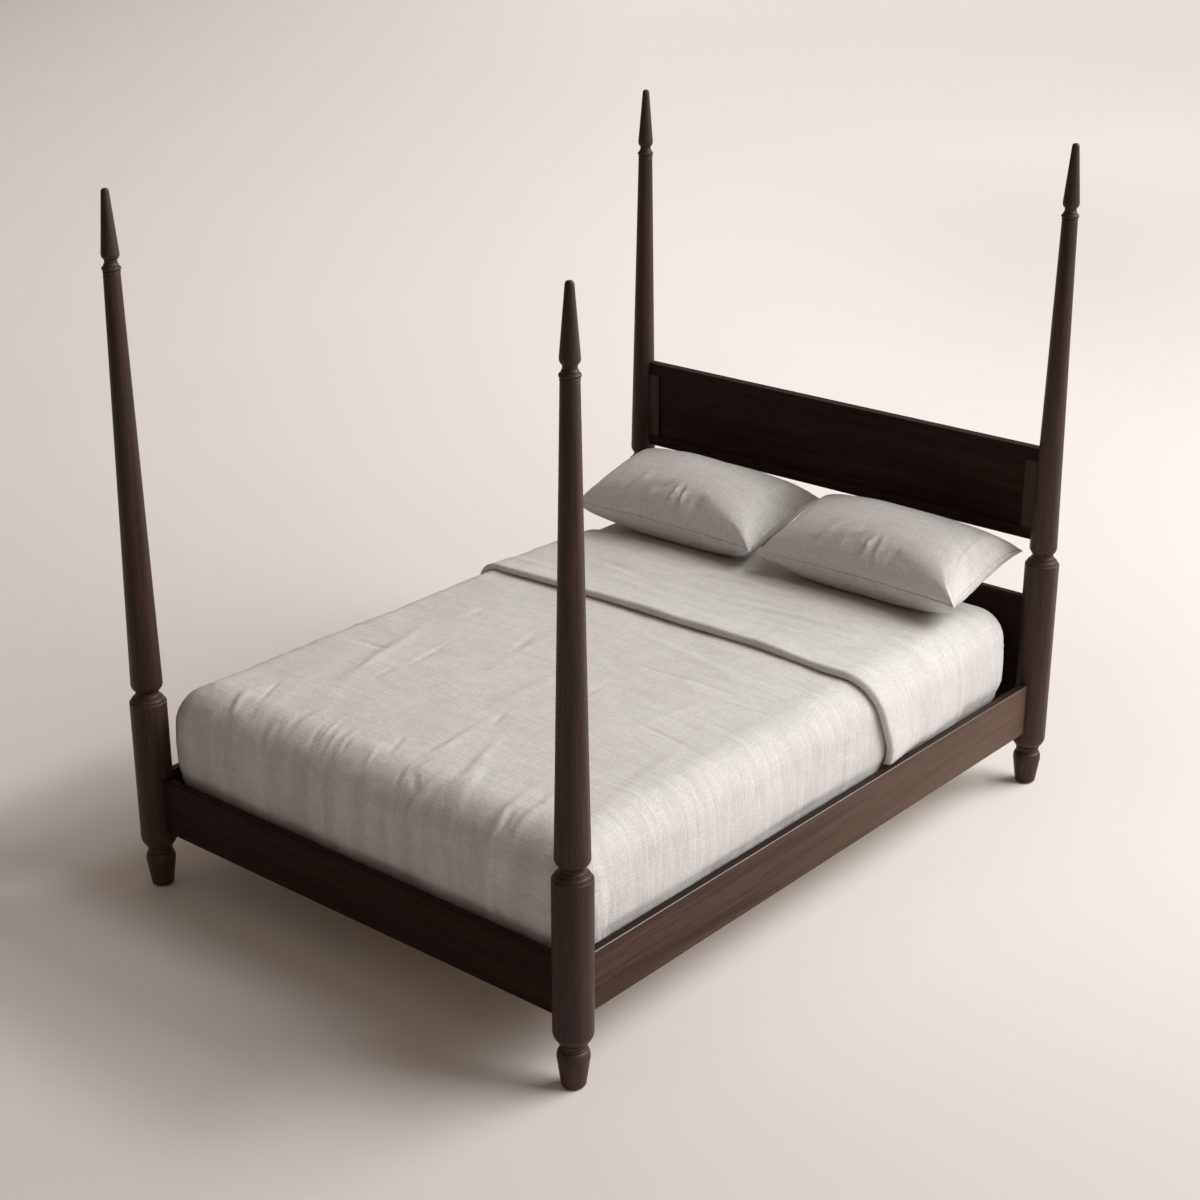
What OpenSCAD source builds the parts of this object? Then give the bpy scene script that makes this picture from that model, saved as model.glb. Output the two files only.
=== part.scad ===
// Four-poster bed with turned posts, a panelled headboard, a slatted base and its bedding.
// The origin is on the floor in the middle of the bed, and the headboard is towards +Y.

/* [Bed] */
// Spacing of the posts' centres across the bed
post_gap_x = 1572; // [1572:1:1640]
// Spacing of the posts' centres along the bed
post_gap_y = 2194; // [2194:1:2260]
// Height of the finials' tips above the floor
bed_height = 2012; // [1950:1:2100]

/* [Posts] */
// Radius of the lower post's straight block
block_r = 52; // [50:0.5:56]
// Underside of the block
block_bottom = 157; // [155:1:170]
// Top of the block on the two foot posts
foot_block_top = 579; // [540:1:600]
// How much higher the head posts' block ends
head_block_rise = 161; // [140:1:180]
// Radius of a foot post's tapered shaft at its lower end
shaft_r = 44.5; // [42:0.5:48]
// Radius of every tapered shaft under its collar
shaft_top_r = 23; // [20:0.5:26]
// Radius of the neck where the two halves of a post meet
waist_r = 31.5; // [28:0.5:34]
// Height of a finial above the collar's top
finial_h = 192; // [160:1:220]
// Radius of a finial at its widest
finial_r = 24.3; // [20:0.1:28]

/* [Rails] */
// Underside of the side and foot rails
rail_bottom = 182; // [175:1:190]
// Height of the side and foot rails
rail_h = 165; // [150:1:170]
// Thickness of every rail
rail_t = 26; // [24:0.5:28]
// How far a rail's outer face stands outside the posts' centre line
rail_out = 9; // [6:0.5:10]
// Top of the wide rail between the head posts
head_rail_top = 622; // [600:1:640]

/* [Headboard] */
// Underside of the headboard
hb_bottom = 808; // [804:1:830]
// Height of the headboard
hb_h = 290; // [260:1:320]
// Thickness of the headboard's frame
hb_t = 36; // [30:1:38]
// How far the headboard's front stands in front of the posts' centres
hb_front = 12; // [8:1:14]
// Height of the headboard's top rail
hb_top_rail_h = 40; // [36:1:60]
// Height of the headboard's bottom rail
hb_bottom_rail_h = 36; // [32:1:60]
// Width of a stile that shows beside the post
hb_stile_w = 50; // [44:1:70]
// Depth of the panel behind the frame's front
panel_recess = 7; // [4:1:9]

/* [Slats and support] */
// Number of slats
slat_count = 12; // [10:1:12]
// Width of a slat
slat_w = 90; // [70:1:100]
// Thickness of a slat
slat_t = 18; // [16:1:20]
// Top of the slats, where the mattress rests
slat_top = 290; // [285:1:300]
// Distance of each centre leg from the middle of the bed
leg_y = 480; // [400:5:700]

/* [Bedding] */
// Width of the mattress
mattress_w = 1500; // [1490:1:1500]
// Head end of the mattress
mattress_head = 1025; // [1015:1:1030]
// Foot end of the mattress
mattress_foot = -1026; // [-1030:1:-1015]
// Height of the mattress's edge above the floor
mattress_top = 604; // [590:1:612]
// Where the turned-back part of the coverlet begins
turnback_y = 200; // [150:5:300]
// Where the coverlet ends, in front of the pillows
coverlet_head = 708; // [690:1:720]
// Width of a pillow across its corners
pillow_w = 740; // [700:5:750]
// Depth of a pillow across its corners
pillow_d = 400; // [360:5:400]
// Height of a pillow's crown above its seam
pillow_crown = 112; // [90:1:120]

/* [Hidden] */
corners = [[-1, -1], [1, -1], [-1, 1], [1, 1]];
corner_names = ["foot_left", "foot_right", "head_left", "head_right"];

round_fn = 72;
gap = 0.2;
post_x = post_gap_x / 2;
post_y = post_gap_y / 2;
rail_top = rail_bottom + rail_h;
rail_mid = rail_bottom + rail_h / 2;
rail_in = rail_t - rail_out;
rail_core = rail_t / 2 - rail_out;
inner_x = post_x - rail_in;
inner_y = post_y - rail_in;

// Posts
glide_h = 3;
glide_r = 22;
glide_pin_r = 3;
glide_pin_l = 15;
collar_top = bed_height - finial_h;
waist_rise = 27;
bowl_h = 24;
stud_r = 8;
stud_half = 70;
spigot_r = 6;
spigot_l = 35;
running_gap = 0.05;

// Rail joints: the rail's end sits in a mortise, and bolts from the post run into its end,
// each drawn tight by a nut on a crescent washer in a round pocket on the rail's inner face
mortise_in = 37;
bolt_r = 4;
bolt_in_post = 50;
pocket_x = 40;
head_pocket_x = 75;
bolt_past_pocket = 10;
pocket_r = 14;
pocket_deep = 21;
washer_x = [-13.7, -4];
nut_flats = 13;
nut_t = 6.5;
end_bolts = 50;
side_bolts = 28;
head_bolt_zs = [rail_mid - end_bolts, 328, 442];
rail_joints = concat(
    [for (x = [-1, 1], s = [-1, 1]) [x, -1, false, rail_mid + s * end_bolts]],
    [for (x = [-1, 1], z = head_bolt_zs) [x, 1, false, z]],
    [for (x = [-1, 1], y = [-1, 1], s = [-1, 1]) [x, y, true, rail_mid + s * side_bolts]]);

// Distance of a joint's pocket from the post, more in the wide rail at the head
function pocket_at(j) = !j[2] && j[1] > 0 ? head_pocket_x : pocket_x;

// Headboard
hb_reach = 26;
hb_top = hb_bottom + hb_h;
panel_low = hb_bottom + hb_bottom_rail_h;
panel_high = hb_top - hb_top_rail_h;
stile_out = post_x - hb_reach;
stile_in = stile_out - hb_stile_w;
panel_t = 12;
tongue = 8;
tongue_gap = 2;
dowel_r = 5;
dowel_zs = [80, 18];
dowel_l = 50;

// Slats, ledgers and the centre beam
ledger_w = 25;
ledger_h = 36;
ledger_y = 1000;
ledger_screws = 8;
slat_gap = 7;
slat_span = 945;
screw_r = 1.8;
screw_head = 3.6;
beam_w = 36;
beam_h = 64;
beam_top = slat_top - slat_t;
beam_bottom = beam_top - beam_h;
hanger_t = 3;
hanger_w = 80;
hanger_shelf = 40;
hanger_lip = 32;
leg_w = 45;
leveller_h = 12;
leveller_r = 20;
leveller_stem_r = 5;
leveller_stem_l = 50;
leg_bolt_r = 4;

// Bedding
mattress_bottom = slat_top + 0.3;
mattress_edge_r = 55;
mattress_top_r = 100;
mattress_corner_r = 101;
mattress_crown = 12;
mattress_bulge = 4;
sheet_t = 2;
coverlet_t = 9;
coverlet_foot_t = 35;
coverlet_bottom = 300;
turnback_t = 13;
turnback_roll = 13;
turnback_bottom = 352;
pillow_y = 872;
pillow_z = 745;
pillow_tilt = 14;
pillow_pull = 0.05;
pillow_sag = 24;
pillow_rest = mattress_top + mattress_crown + sheet_t + 0.4;
pillow_left_x = -385;
pillow_right_x = 362;
case_t = 2.5;

// Points of an elliptical arc from angle a to angle b
function arc(cx, cz, rx, rz, a, b, n = 6) =
    [for (i = [0:n]) let (t = a + (b - a) * i / n) [cx + rx * cos(t), cz + rz * sin(t)]];

// Outline of a rectangle with rounded corners
function rounded(x0, z0, x1, z1, r) = concat(
    arc(x1 - r, z0 + r, r, r, -90, 0, 4), arc(x1 - r, z1 - r, r, r, 0, 90, 4),
    arc(x0 + r, z1 - r, r, r, 90, 180, 4), arc(x0 + r, z0 + r, r, r, 180, 270, 4));

// Horizontal ring round the bed with rounded corners
function ring(x0, x1, y0, y1, r, z, n = 6) =
    [for (q = [0:3], i = [0:n])
        let (a = 90 * q + 90 * i / n, cx = q == 0 || q == 3 ? x1 - r : x0 + r,
             cy = q < 2 ? y1 - r : y0 + r)
        [cx + r * cos(a), cy + r * sin(a), z]];

// Closed skin over rings of equal length, with a centre point under the first and over the last
module loft(rings) {
    n = len(rings[0]);
    m = len(rings);
    low = [for (k = [0:2]) let (s = [for (p = rings[0]) p[k]]) (min(s) + max(s)) / 2];
    high = [for (k = [0:2]) let (s = [for (p = rings[m - 1]) p[k]]) (min(s) + max(s)) / 2];
    polyhedron(
        points = concat([for (r = rings) each r], [low, high]),
        faces = concat(
            [for (j = [0:m - 2], i = [0:n - 1]) let (k = (i + 1) % n)
                [j * n + i, (j + 1) * n + i, (j + 1) * n + k]],
            [for (j = [0:m - 2], i = [0:n - 1]) let (k = (i + 1) % n)
                [j * n + i, (j + 1) * n + k, j * n + k]],
            [for (i = [0:n - 1]) [n * m, i, (i + 1) % n]],
            [for (i = [0:n - 1]) [n * m + 1, (m - 1) * n + (i + 1) % n, (m - 1) * n + i]]));
}

// Frame of a rail's end: x runs into the rail from the post's centre, and the outside is at -y
module at_corner(sx, sy, side) {
    translate([sx * post_x, sy * post_y, 0])
        mirror([sx > 0 ? 1 : 0, 0, 0])
            mirror([0, sy > 0 ? 1 : 0, 0])
                mirror(side ? [1, -1, 0] : [0, 0, 0])
                    children();
}

// Countersunk screw whose head is flush with x = 0, pointing along +x
module wood_screw(length, r, head_r, grow = 0) {
    rotate([0, 90, 0]) {
        translate([0, 0, -grow])
            cylinder(h = length + 2 * grow, r = r + grow, $fn = 24);
        cylinder(h = head_r - r, r1 = head_r + grow, r2 = r + grow, $fn = 24);
    }
}

function lower_profile(top) = concat(
    [[0, glide_h], [26, glide_h]],
    arc(26, glide_h + 7, 6, 7, -90, 0, 4),
    arc(33, 86, 9.2, 20, -20, 70, 8),
    [[34, 107]],
    arc(32.8, 111, 2.2, 3.5, -90, 90, 6),
    [[33, 116], [33, 118.5]],
    arc(34, 123, 2.2, 3.5, -90, 90, 6),
    [[37.5, 128], [42.5, 133.5], [47, 140.5], [50.2, 147], [block_r - 0.5, block_bottom - 4],
     [block_r, block_bottom]],
    arc(block_r - 3, top - 5, 3, 5, 0, 75, 4),
    [[46.5, top + 0.6], [46.5, top + 3]],
    arc(38, top + 3, 8, 9, 0, 80, 4),
    [[36.4, top + 13], [36.4, top + 16]],
    arc(waist_r, top + 16, 4, 6, 0, 85, 4),
    [[waist_r, top + waist_rise], [0, top + waist_rise]]);

// Radius of a straight tapering shaft at height z, which is the same for all four posts
shaft_foot = foot_block_top + waist_rise + 34;
function shaft_at(z) = shaft_r - (shaft_r - shaft_top_r) * (z - shaft_foot)
    / (collar_top - 30 - shaft_foot);

function upper_profile(top) =
    let (base = top + waist_rise, r = shaft_at(base + bowl_h), w = r - waist_r) concat(
    [[0, base], [waist_r, base], [waist_r, base + 2], [waist_r + 0.4 * w, base + 8],
     [waist_r + 0.74 * w, base + 13.5], [waist_r + 0.93 * w, base + 19], [r, base + bowl_h],
     [shaft_top_r, collar_top - 30], [shaft_top_r - 0.8, collar_top - 29],
     [shaft_top_r - 0.8, collar_top - 28], [shaft_top_r + 0.6, collar_top - 27],
     [shaft_top_r + 0.6, collar_top - 22.5]],
    arc(20, collar_top - 15, 5.7, 6, -75, 80, 8),
    [[20.6, collar_top - 8.5]],
    arc(17.4, collar_top - 8, 3, 6, 0, 80, 4),
    [[17.4, collar_top], [0, collar_top]]);

function finial_profile() = concat(
    [[0, 0], [17.4, 0], [17.4, 7]],
    arc(15, 23, finial_r - 15, 15, -75, 15, 7),
    [[10.8, finial_h - 9]],
    arc(3, finial_h - 8, 7.6, 8, 0, 80, 6),
    [[0, finial_h]]);

function block_top_at(i) = foot_block_top + (corners[i][1] > 0 ? head_block_rise : 0);

module mortise(z1) {
    translate([mortise_in, -rail_out - gap, rail_bottom - gap])
        cube([block_r, rail_t + 2 * gap, z1 - rail_bottom + 2 * gap]);
}

module rail_bolt(r, x0, x1) {
    translate([mortise_in + x0, rail_core, 0])
        rotate([0, 90, 0])
            cylinder(h = x1 - x0, r = r, $fn = 32);
}

// Bolt holes and nut pockets for every joint of one rail
module rail_end_cuts(s, side) {
    for (j = rail_joints)
        if (j[2] == side && (side ? j[0] == s : j[1] == s))
            at_corner(j[0], j[1], j[2])
                translate([0, 0, j[3]]) {
                    rail_bolt(bolt_r + gap, -1, pocket_at(j));
                    translate([mortise_in + pocket_at(j), rail_in - pocket_deep, 0])
                        rotate([-90, 0, 0])
                            cylinder(h = pocket_deep + 1, r = pocket_r, $fn = 48);
                }
}

module lower_post(i) {
    c = corners[i];
    top = block_top_at(i);
    color("#3a2a24")
        difference() {
            translate([c[0] * post_x, c[1] * post_y, 0])
                rotate_extrude($fn = round_fn)
                    polygon(lower_profile(top));
            at_corner(c[0], c[1], false)
                mortise(c[1] > 0 ? head_rail_top : rail_top);
            at_corner(c[0], c[1], true)
                mortise(rail_top);
            for (j = rail_joints)
                if (j[0] == c[0] && j[1] == c[1])
                    at_corner(j[0], j[1], j[2])
                        translate([0, 0, j[3]])
                            rail_bolt(bolt_r + 0.1, -bolt_in_post - 1, 1);
            translate([c[0] * post_x, c[1] * post_y, top + waist_rise - stud_half - 1])
                cylinder(h = stud_half + 2, r = stud_r, $fn = 48);
            translate([c[0] * post_x, c[1] * post_y, 0])
                cylinder(h = glide_h + glide_pin_l + 1, r = glide_pin_r + 0.1, $fn = 32);
        }
}

module upper_post(i) {
    c = corners[i];
    base = block_top_at(i) + waist_rise;
    color("#3a2a24")
        difference() {
            translate([c[0] * post_x, c[1] * post_y, 0])
                rotate_extrude($fn = round_fn)
                    polygon(upper_profile(block_top_at(i)));
            translate([c[0] * post_x, c[1] * post_y, base - 1])
                cylinder(h = stud_half + 2, r = stud_r, $fn = 48);
            translate([c[0] * post_x, c[1] * post_y, collar_top - spigot_l - 2])
                cylinder(h = spigot_l + 3, r = spigot_r + running_gap, $fn = 48);
            if (c[1] > 0)
                at_corner(c[0], c[1], false) {
                    translate([hb_reach, hb_front - hb_t - gap, hb_bottom - gap])
                        cube([shaft_r, hb_t + 2 * gap, hb_h + 2 * gap]);
                    for (z = [hb_bottom + dowel_zs[0], hb_top - dowel_zs[1]])
                        translate([hb_reach - 21, 0, z])
                            rotate([0, 90, 0])
                                cylinder(h = 22, r = dowel_r + 0.1, $fn = 32);
                }
        }
}

module finial(i) {
    c = corners[i];
    color("#33241f")
        translate([c[0] * post_x, c[1] * post_y, collar_top + 0.1]) {
            rotate_extrude($fn = round_fn)
                polygon(finial_profile());
            translate([0, 0, -spigot_l])
                cylinder(h = spigot_l + 1, r = spigot_r, $fn = 48);
        }
}

module post_studs() {
    color("#9a9a98")
        for (i = [0:3])
            translate([corners[i][0] * post_x, corners[i][1] * post_y,
                       block_top_at(i) + waist_rise - stud_half])
                cylinder(h = 2 * stud_half, r = stud_r - 0.1, $fn = 32);
}

module floor_glides() {
    color("#1d1b1a")
        for (c = corners)
            translate([c[0] * post_x, c[1] * post_y, 0]) {
                cylinder(h = glide_h - 0.1, r = glide_r, $fn = 48);
                cylinder(h = glide_h + glide_pin_l, r = glide_pin_r, $fn = 32);
            }
}

// Board along x with rounded long edges, from x0 to x1
module board_x(x0, x1, y0, y1, z0, z1, r = 3) {
    translate([x0, 0, 0])
        rotate([90, 0, 90])
            linear_extrude(height = x1 - x0)
                polygon(rounded(y0, z0, y1, z1, r));
}

// Board along y with rounded long edges, from y0 to y1
module board_y(y0, y1, x0, x1, z0, z1, r = 3) {
    translate([0, y1, 0])
        rotate([90, 0, 0])
            linear_extrude(height = y1 - y0)
                polygon(rounded(x0, z0, x1, z1, r));
}

hb_y0 = post_y - hb_front;
hb_y1 = hb_y0 + hb_t;
panel_y0 = hb_y0 + panel_recess;
panel_y1 = panel_y0 + panel_t;

module headboard_top_rail() {
    color("#382924")
        difference() {
            board_x(-stile_out, stile_out, hb_y0, hb_y1, panel_high, hb_top, 3);
            translate([-stile_out + 10, panel_y0 - 0.1, panel_high - 1])
                cube([2 * stile_out - 20, panel_t + gap, tongue + 1]);
            headboard_dowel_holes(hb_top - dowel_zs[1]);
        }
}

module headboard_bottom_rail() {
    color("#382924")
        difference() {
            board_x(-stile_out, stile_out, hb_y0, hb_y1, hb_bottom, panel_low, 3);
            translate([-stile_out + 10, panel_y0 - 0.1, panel_low - tongue])
                cube([2 * stile_out - 20, panel_t + gap, tongue + 1]);
        }
}

module headboard_dowel_holes(z) {
    for (x = [-1, 1])
        translate([x * (stile_out - 14.5), post_y, z])
            rotate([0, 90, 0])
                cylinder(h = 31, r = dowel_r + 0.1, center = true, $fn = 32);
}

module headboard_stile(sx) {
    color("#382924")
        difference() {
            union() {
                board_x(min(sx * stile_in, sx * stile_out), max(sx * stile_in, sx * stile_out),
                        hb_y0, hb_y1, panel_low, panel_high, 0.5);
                translate([sx * (stile_in + stile_out) / 2, panel_y0 + panel_t / 2,
                           (panel_low + panel_high) / 2])
                    cube([hb_stile_w - 21, panel_t - gap, panel_high - panel_low + 2 * tongue - 2],
                         center = true);
            }
            translate([sx * stile_in, panel_y0 + panel_t / 2, (panel_low + panel_high) / 2])
                cube([2 * tongue, panel_t + gap, panel_high - panel_low + 1], center = true);
            headboard_dowel_holes(hb_bottom + dowel_zs[0]);
        }
}

module headboard_panel() {
    x = stile_in + tongue - tongue_gap;
    color("#35261f")
        translate([-x, panel_y0 + 0.1, panel_low - tongue + tongue_gap])
            cube([2 * x, panel_t - gap, panel_high - panel_low + 2 * (tongue - tongue_gap)]);
}

module headboard_dowels() {
    color("#b08d62")
        for (sx = [-1, 1], z = [hb_bottom + dowel_zs[0], hb_top - dowel_zs[1]])
            at_corner(sx, 1, false)
                translate([hb_reach - 20, 0, z])
                    rotate([0, 90, 0])
                        cylinder(h = dowel_l - 1, r = dowel_r, $fn = 32);
}

module hanger_holes(sy) {
    for (x = [-31, 31], z = [beam_bottom + 12, beam_bottom + 50])
        translate([x, sy * (inner_y - hanger_t), z])
            rotate([0, 0, sy * 90])
                wood_screw(22, screw_r, screw_head, 0.1);
}

module foot_rail() {
    x = post_x - mortise_in;
    color("#3d2c26")
        difference() {
            board_x(-x, x, -post_y - rail_out, -inner_y, rail_bottom, rail_top);
            rail_end_cuts(-1, false);
            hanger_holes(-1);
        }
}

module head_rail() {
    x = post_x - mortise_in;
    color("#3d2c26")
        difference() {
            board_x(-x, x, inner_y, post_y + rail_out, rail_bottom, head_rail_top);
            rail_end_cuts(1, false);
            hanger_holes(1);
        }
}

module side_rail(sx) {
    y = post_y - mortise_in;
    x0 = sx > 0 ? inner_x : -post_x - rail_out;
    color("#3d2c26")
        difference() {
            board_y(-y, y, x0, x0 + rail_t, rail_bottom, rail_top);
            rail_end_cuts(sx, true);
            ledger_screw_set(sx, 0.1);
        }
}

module rail_bolts() {
    color("#9a9a98")
        for (j = rail_joints)
            at_corner(j[0], j[1], j[2])
                translate([0, 0, j[3]])
                    rail_bolt(bolt_r, -bolt_in_post, pocket_at(j) + bolt_past_pocket);
}

// Half-round washer that bears on the pocket's wall on the post's side
module crescent_washers() {
    color("#8f9091")
        for (j = rail_joints)
            at_corner(j[0], j[1], j[2])
                translate([0, 0, j[3]])
                    difference() {
                        intersection() {
                            translate([mortise_in + pocket_at(j), rail_in - pocket_deep + 0.5, 0])
                                rotate([-90, 0, 0])
                                    cylinder(h = pocket_deep - 3, r = pocket_r - gap, $fn = 48);
                            translate([mortise_in + pocket_at(j) + washer_x[0], -50, -50])
                                cube([washer_x[1] - washer_x[0], 100, 100]);
                        }
                        rail_bolt(bolt_r + gap, 0, pocket_at(j) + bolt_past_pocket);
                    }
}

module rail_nuts() {
    color("#9a9a98")
        for (j = rail_joints)
            at_corner(j[0], j[1], j[2])
                translate([mortise_in + pocket_at(j) + washer_x[1] + 0.1, rail_core, j[3]])
                    rotate([0, 90, 0])
                        difference() {
                            cylinder(h = nut_t, d = nut_flats / cos(30), $fn = 6);
                            translate([0, 0, -1])
                                cylinder(h = nut_t + 2, r = bolt_r + 0.1, $fn = 32);
                        }
}

module ledger_screw_set(sx, grow = 0) {
    for (i = [0:ledger_screws - 1])
        translate([sx * (inner_x - ledger_w + 0.2), -ledger_y + 90 + i * (2 * ledger_y - 180) / (ledger_screws - 1),
                   beam_top - ledger_h / 2])
            mirror([sx < 0 ? 1 : 0, 0, 0])
                wood_screw(42, 2.2, 4.4, grow);
}

module ledger(sx) {
    x0 = sx > 0 ? inner_x - ledger_w : -inner_x;
    color("#a5855c")
        difference() {
            board_y(-ledger_y, ledger_y, x0, x0 + ledger_w, beam_top - ledger_h, beam_top, 2);
            ledger_screw_set(sx, 0.1);
            for (i = [0:slat_count - 1])
                slat_screw_pair(i, 0.1);
        }
}

module ledger_screws() {
    color("#a7a49c")
        for (sx = [-1, 1])
            ledger_screw_set(sx);
}

module centre_beam() {
    y = inner_y - hanger_t - 0.5;
    color("#a5855c")
        difference() {
            board_y(-y, y, -beam_w / 2, beam_w / 2, beam_bottom, beam_top, 2);
            for (s = [-1, 1])
                translate([0, s * leg_y, beam_bottom - 1])
                    cylinder(h = 42, r = leg_bolt_r + 0.1, $fn = 32);
        }
}

module beam_hangers() {
    color("#8f9091")
        for (sy = [-1, 1])
            mirror([0, sy < 0 ? 1 : 0, 0])
                difference() {
                    union() {
                        translate([-hanger_w / 2, inner_y - hanger_t, beam_bottom - hanger_t])
                            cube([hanger_w, hanger_t - 0.1, beam_h]);
                        translate([-beam_w / 2 - hanger_t, inner_y - hanger_shelf, beam_bottom - hanger_t])
                            cube([beam_w + 2 * hanger_t, hanger_shelf - 1, hanger_t - 0.1]);
                        for (sx = [-1, 1])
                            translate([sx * (beam_w / 2 + 0.2 + hanger_t / 2), inner_y - hanger_shelf / 2,
                                       beam_bottom - hanger_t + hanger_lip / 2])
                                cube([hanger_t - 0.2, hanger_shelf - 1, hanger_lip], center = true);
                    }
                    hanger_holes(1);
                }
}

module hanger_screws() {
    color("#a7a49c")
        for (sy = [-1, 1], x = [-31, 31], z = [beam_bottom + 12, beam_bottom + 50])
            translate([x, sy * (inner_y - hanger_t + 0.2), z])
                rotate([0, 0, sy * 90])
                    wood_screw(21.6, screw_r, screw_head - 0.2);
}

function slat_y(i) = -slat_span + 2 * slat_span * i / (slat_count - 1);

module slat_screw_pair(i, grow = 0) {
    for (sx = [-1, 1])
        translate([sx * (inner_x - slat_gap - 8), slat_y(i), slat_top - 0.2])
            rotate([0, 90, 0])
                wood_screw(34, 2, 4, grow);
}

module slat(i) {
    x = inner_x - slat_gap;
    color("#b8986c")
        difference() {
            board_x(-x, x, slat_y(i) - slat_w / 2, slat_y(i) + slat_w / 2, beam_top + 0.1, slat_top, 3);
            slat_screw_pair(i, 0.1);
        }
}

module slat_screws() {
    color("#a7a49c")
        for (i = [0:slat_count - 1])
            slat_screw_pair(i);
}

module centre_leg(s) {
    color("#a5855c")
        difference() {
            translate([0, s * leg_y, leveller_h + 0.2])
                linear_extrude(height = beam_bottom - leveller_h - 0.4)
                    polygon(rounded(-leg_w / 2, -leg_w / 2, leg_w / 2, leg_w / 2, 4));
            translate([0, s * leg_y, 0])
                cylinder(h = leveller_h + leveller_stem_l + 2, r = leveller_stem_r + running_gap, $fn = 48);
            translate([0, s * leg_y, beam_bottom - 41])
                cylinder(h = 42, r = leg_bolt_r + 0.1, $fn = 32);
        }
}

module leg_bolts() {
    color("#9a9a98")
        for (s = [-1, 1])
            translate([0, s * leg_y, beam_bottom - 40])
                cylinder(h = 80, r = leg_bolt_r, $fn = 32);
}

module leveller(s) {
    color("#2a2a2a")
        translate([0, s * leg_y, 0]) {
            rotate_extrude($fn = 48)
                polygon(concat([[0, 0], [leveller_r - 2, 0]], arc(leveller_r - 2, 2, 2, 2, -90, 0, 3),
                               [[leveller_r, 5], [9, 8], [9, leveller_h], [0, leveller_h]]));
            cylinder(h = leveller_h + leveller_stem_l, r = leveller_stem_r, $fn = 48);
        }
}

// Side profile of the mattress as inset and height, moved outwards by t
function bed_profile(t) = concat(
    [for (a = [-90, -60, -30])
        [mattress_edge_r * (1 - cos(a)) - t * cos(a),
         mattress_bottom + mattress_edge_r * (1 + sin(a)) + t * sin(a)]],
    [for (i = [1:3]) [-mattress_bulge * sin(45 * i) - t,
                      mattress_bottom + mattress_edge_r
                      + (mattress_top - mattress_bottom - mattress_edge_r - mattress_top_r) * i / 4]],
    [for (a = [0, 22.5, 45, 67.5, 90])
        [mattress_top_r * (1 - cos(a)) - t * cos(a),
         mattress_top - mattress_top_r * (1 - sin(a)) + t * sin(a)]],
    [for (d = [145, 270, 465])
        [d, mattress_top + t + mattress_crown * sin(90 * min(1, (d - mattress_top_r) / 365))]]);

// Rings that follow the mattress at a distance t, which is more at the foot by extra
function bed_rings(t, extra = 0) =
    [for (p = bed_profile(t))
        ring(-mattress_w / 2 + p[0], mattress_w / 2 - p[0],
             mattress_foot + p[0] - (p[0] < mattress_top_r ? extra * cos(90 * max(0, p[0]) / mattress_top_r) : 0),
             mattress_head - p[0], max(mattress_corner_r - p[0], 12), p[1])];

module mattress() {
    color("#e8e4dc")
        loft(bed_rings(0));
}

module fitted_sheet() {
    color("#c9c3bb")
        difference() {
            loft(bed_rings(sheet_t));
            loft(bed_rings(0.3));
            translate([-900, -1200, 0])
                cube([1800, 2400, mattress_bottom + 20]);
        }
}

module coverlet() {
    foot = mattress_foot - coverlet_foot_t - 20;
    color("#cfc9c1")
        difference() {
            loft(bed_rings(sheet_t + coverlet_t, coverlet_foot_t - coverlet_t - sheet_t));
            loft(bed_rings(sheet_t + 0.3));
            translate([-900, coverlet_head, 0])
                cube([1800, 800, 900]);
            translate([-900, foot, 0])
                cube([1800, 2400, coverlet_bottom]);
        }
}

// Cross-section of the bedding as a path from one rail over the top to the other, at distance t
function over_path(t) = let (half = [for (p = bed_profile(sheet_t + coverlet_t + t))
        if (p[1] > turnback_bottom) [mattress_w / 2 - p[0], p[1]]])
    concat([[mattress_w / 2 + sheet_t + coverlet_t + t, turnback_bottom]], half,
           [for (i = [len(half) - 1:-1:0]) [-half[i][0], half[i][1]]],
           [[-mattress_w / 2 - sheet_t - coverlet_t - t, turnback_bottom]]);

// Closed loop round the turned-back cloth at one place along the bed
function turnback_ring(y, t) = let (outer = over_path(t), inner = over_path(0.3)) concat(
    [for (p = outer) [p[0], y, p[1]]],
    [for (i = [len(inner) - 1:-1:0]) [inner[i][0], y, inner[i][1]]]);

module turnback_skin(rings) {
    n = len(rings[0]);
    m = len(rings);
    h = n / 2;
    polyhedron(
        points = [for (r = rings) each r],
        faces = concat(
            [for (j = [0:m - 2], i = [0:n - 1]) let (k = (i + 1) % n)
                [j * n + i, (j + 1) * n + k, (j + 1) * n + i]],
            [for (j = [0:m - 2], i = [0:n - 1]) let (k = (i + 1) % n)
                [j * n + i, j * n + k, (j + 1) * n + k]],
            [for (i = [0:h - 2]) each [[i, n - 2 - i, i + 1], [i, n - 1 - i, n - 2 - i]]],
            [for (i = [0:h - 2]) let (b = (m - 1) * n)
                each [[b + i, b + i + 1, b + n - 2 - i], [b + i, b + n - 2 - i, b + n - 1 - i]]]));
}

module coverlet_turnback() {
    roll = [for (a = [0:30:120])
        [turnback_y + turnback_roll * (1 - cos(a)), turnback_roll + turnback_roll * sin(a)]];
    color("#d3cdc5")
        turnback_skin(concat(
            [[for (p = turnback_ring(turnback_y, turnback_roll * 0.6)) p]],
            [for (p = roll) if (p[0] > turnback_y) turnback_ring(p[0], p[1])],
            [turnback_ring(turnback_y + 40, turnback_t),
             turnback_ring((turnback_y + coverlet_head) / 2, turnback_t - 1),
             turnback_ring(coverlet_head - 12, turnback_t - 2),
             turnback_ring(coverlet_head - 1, 3)]));
}

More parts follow.
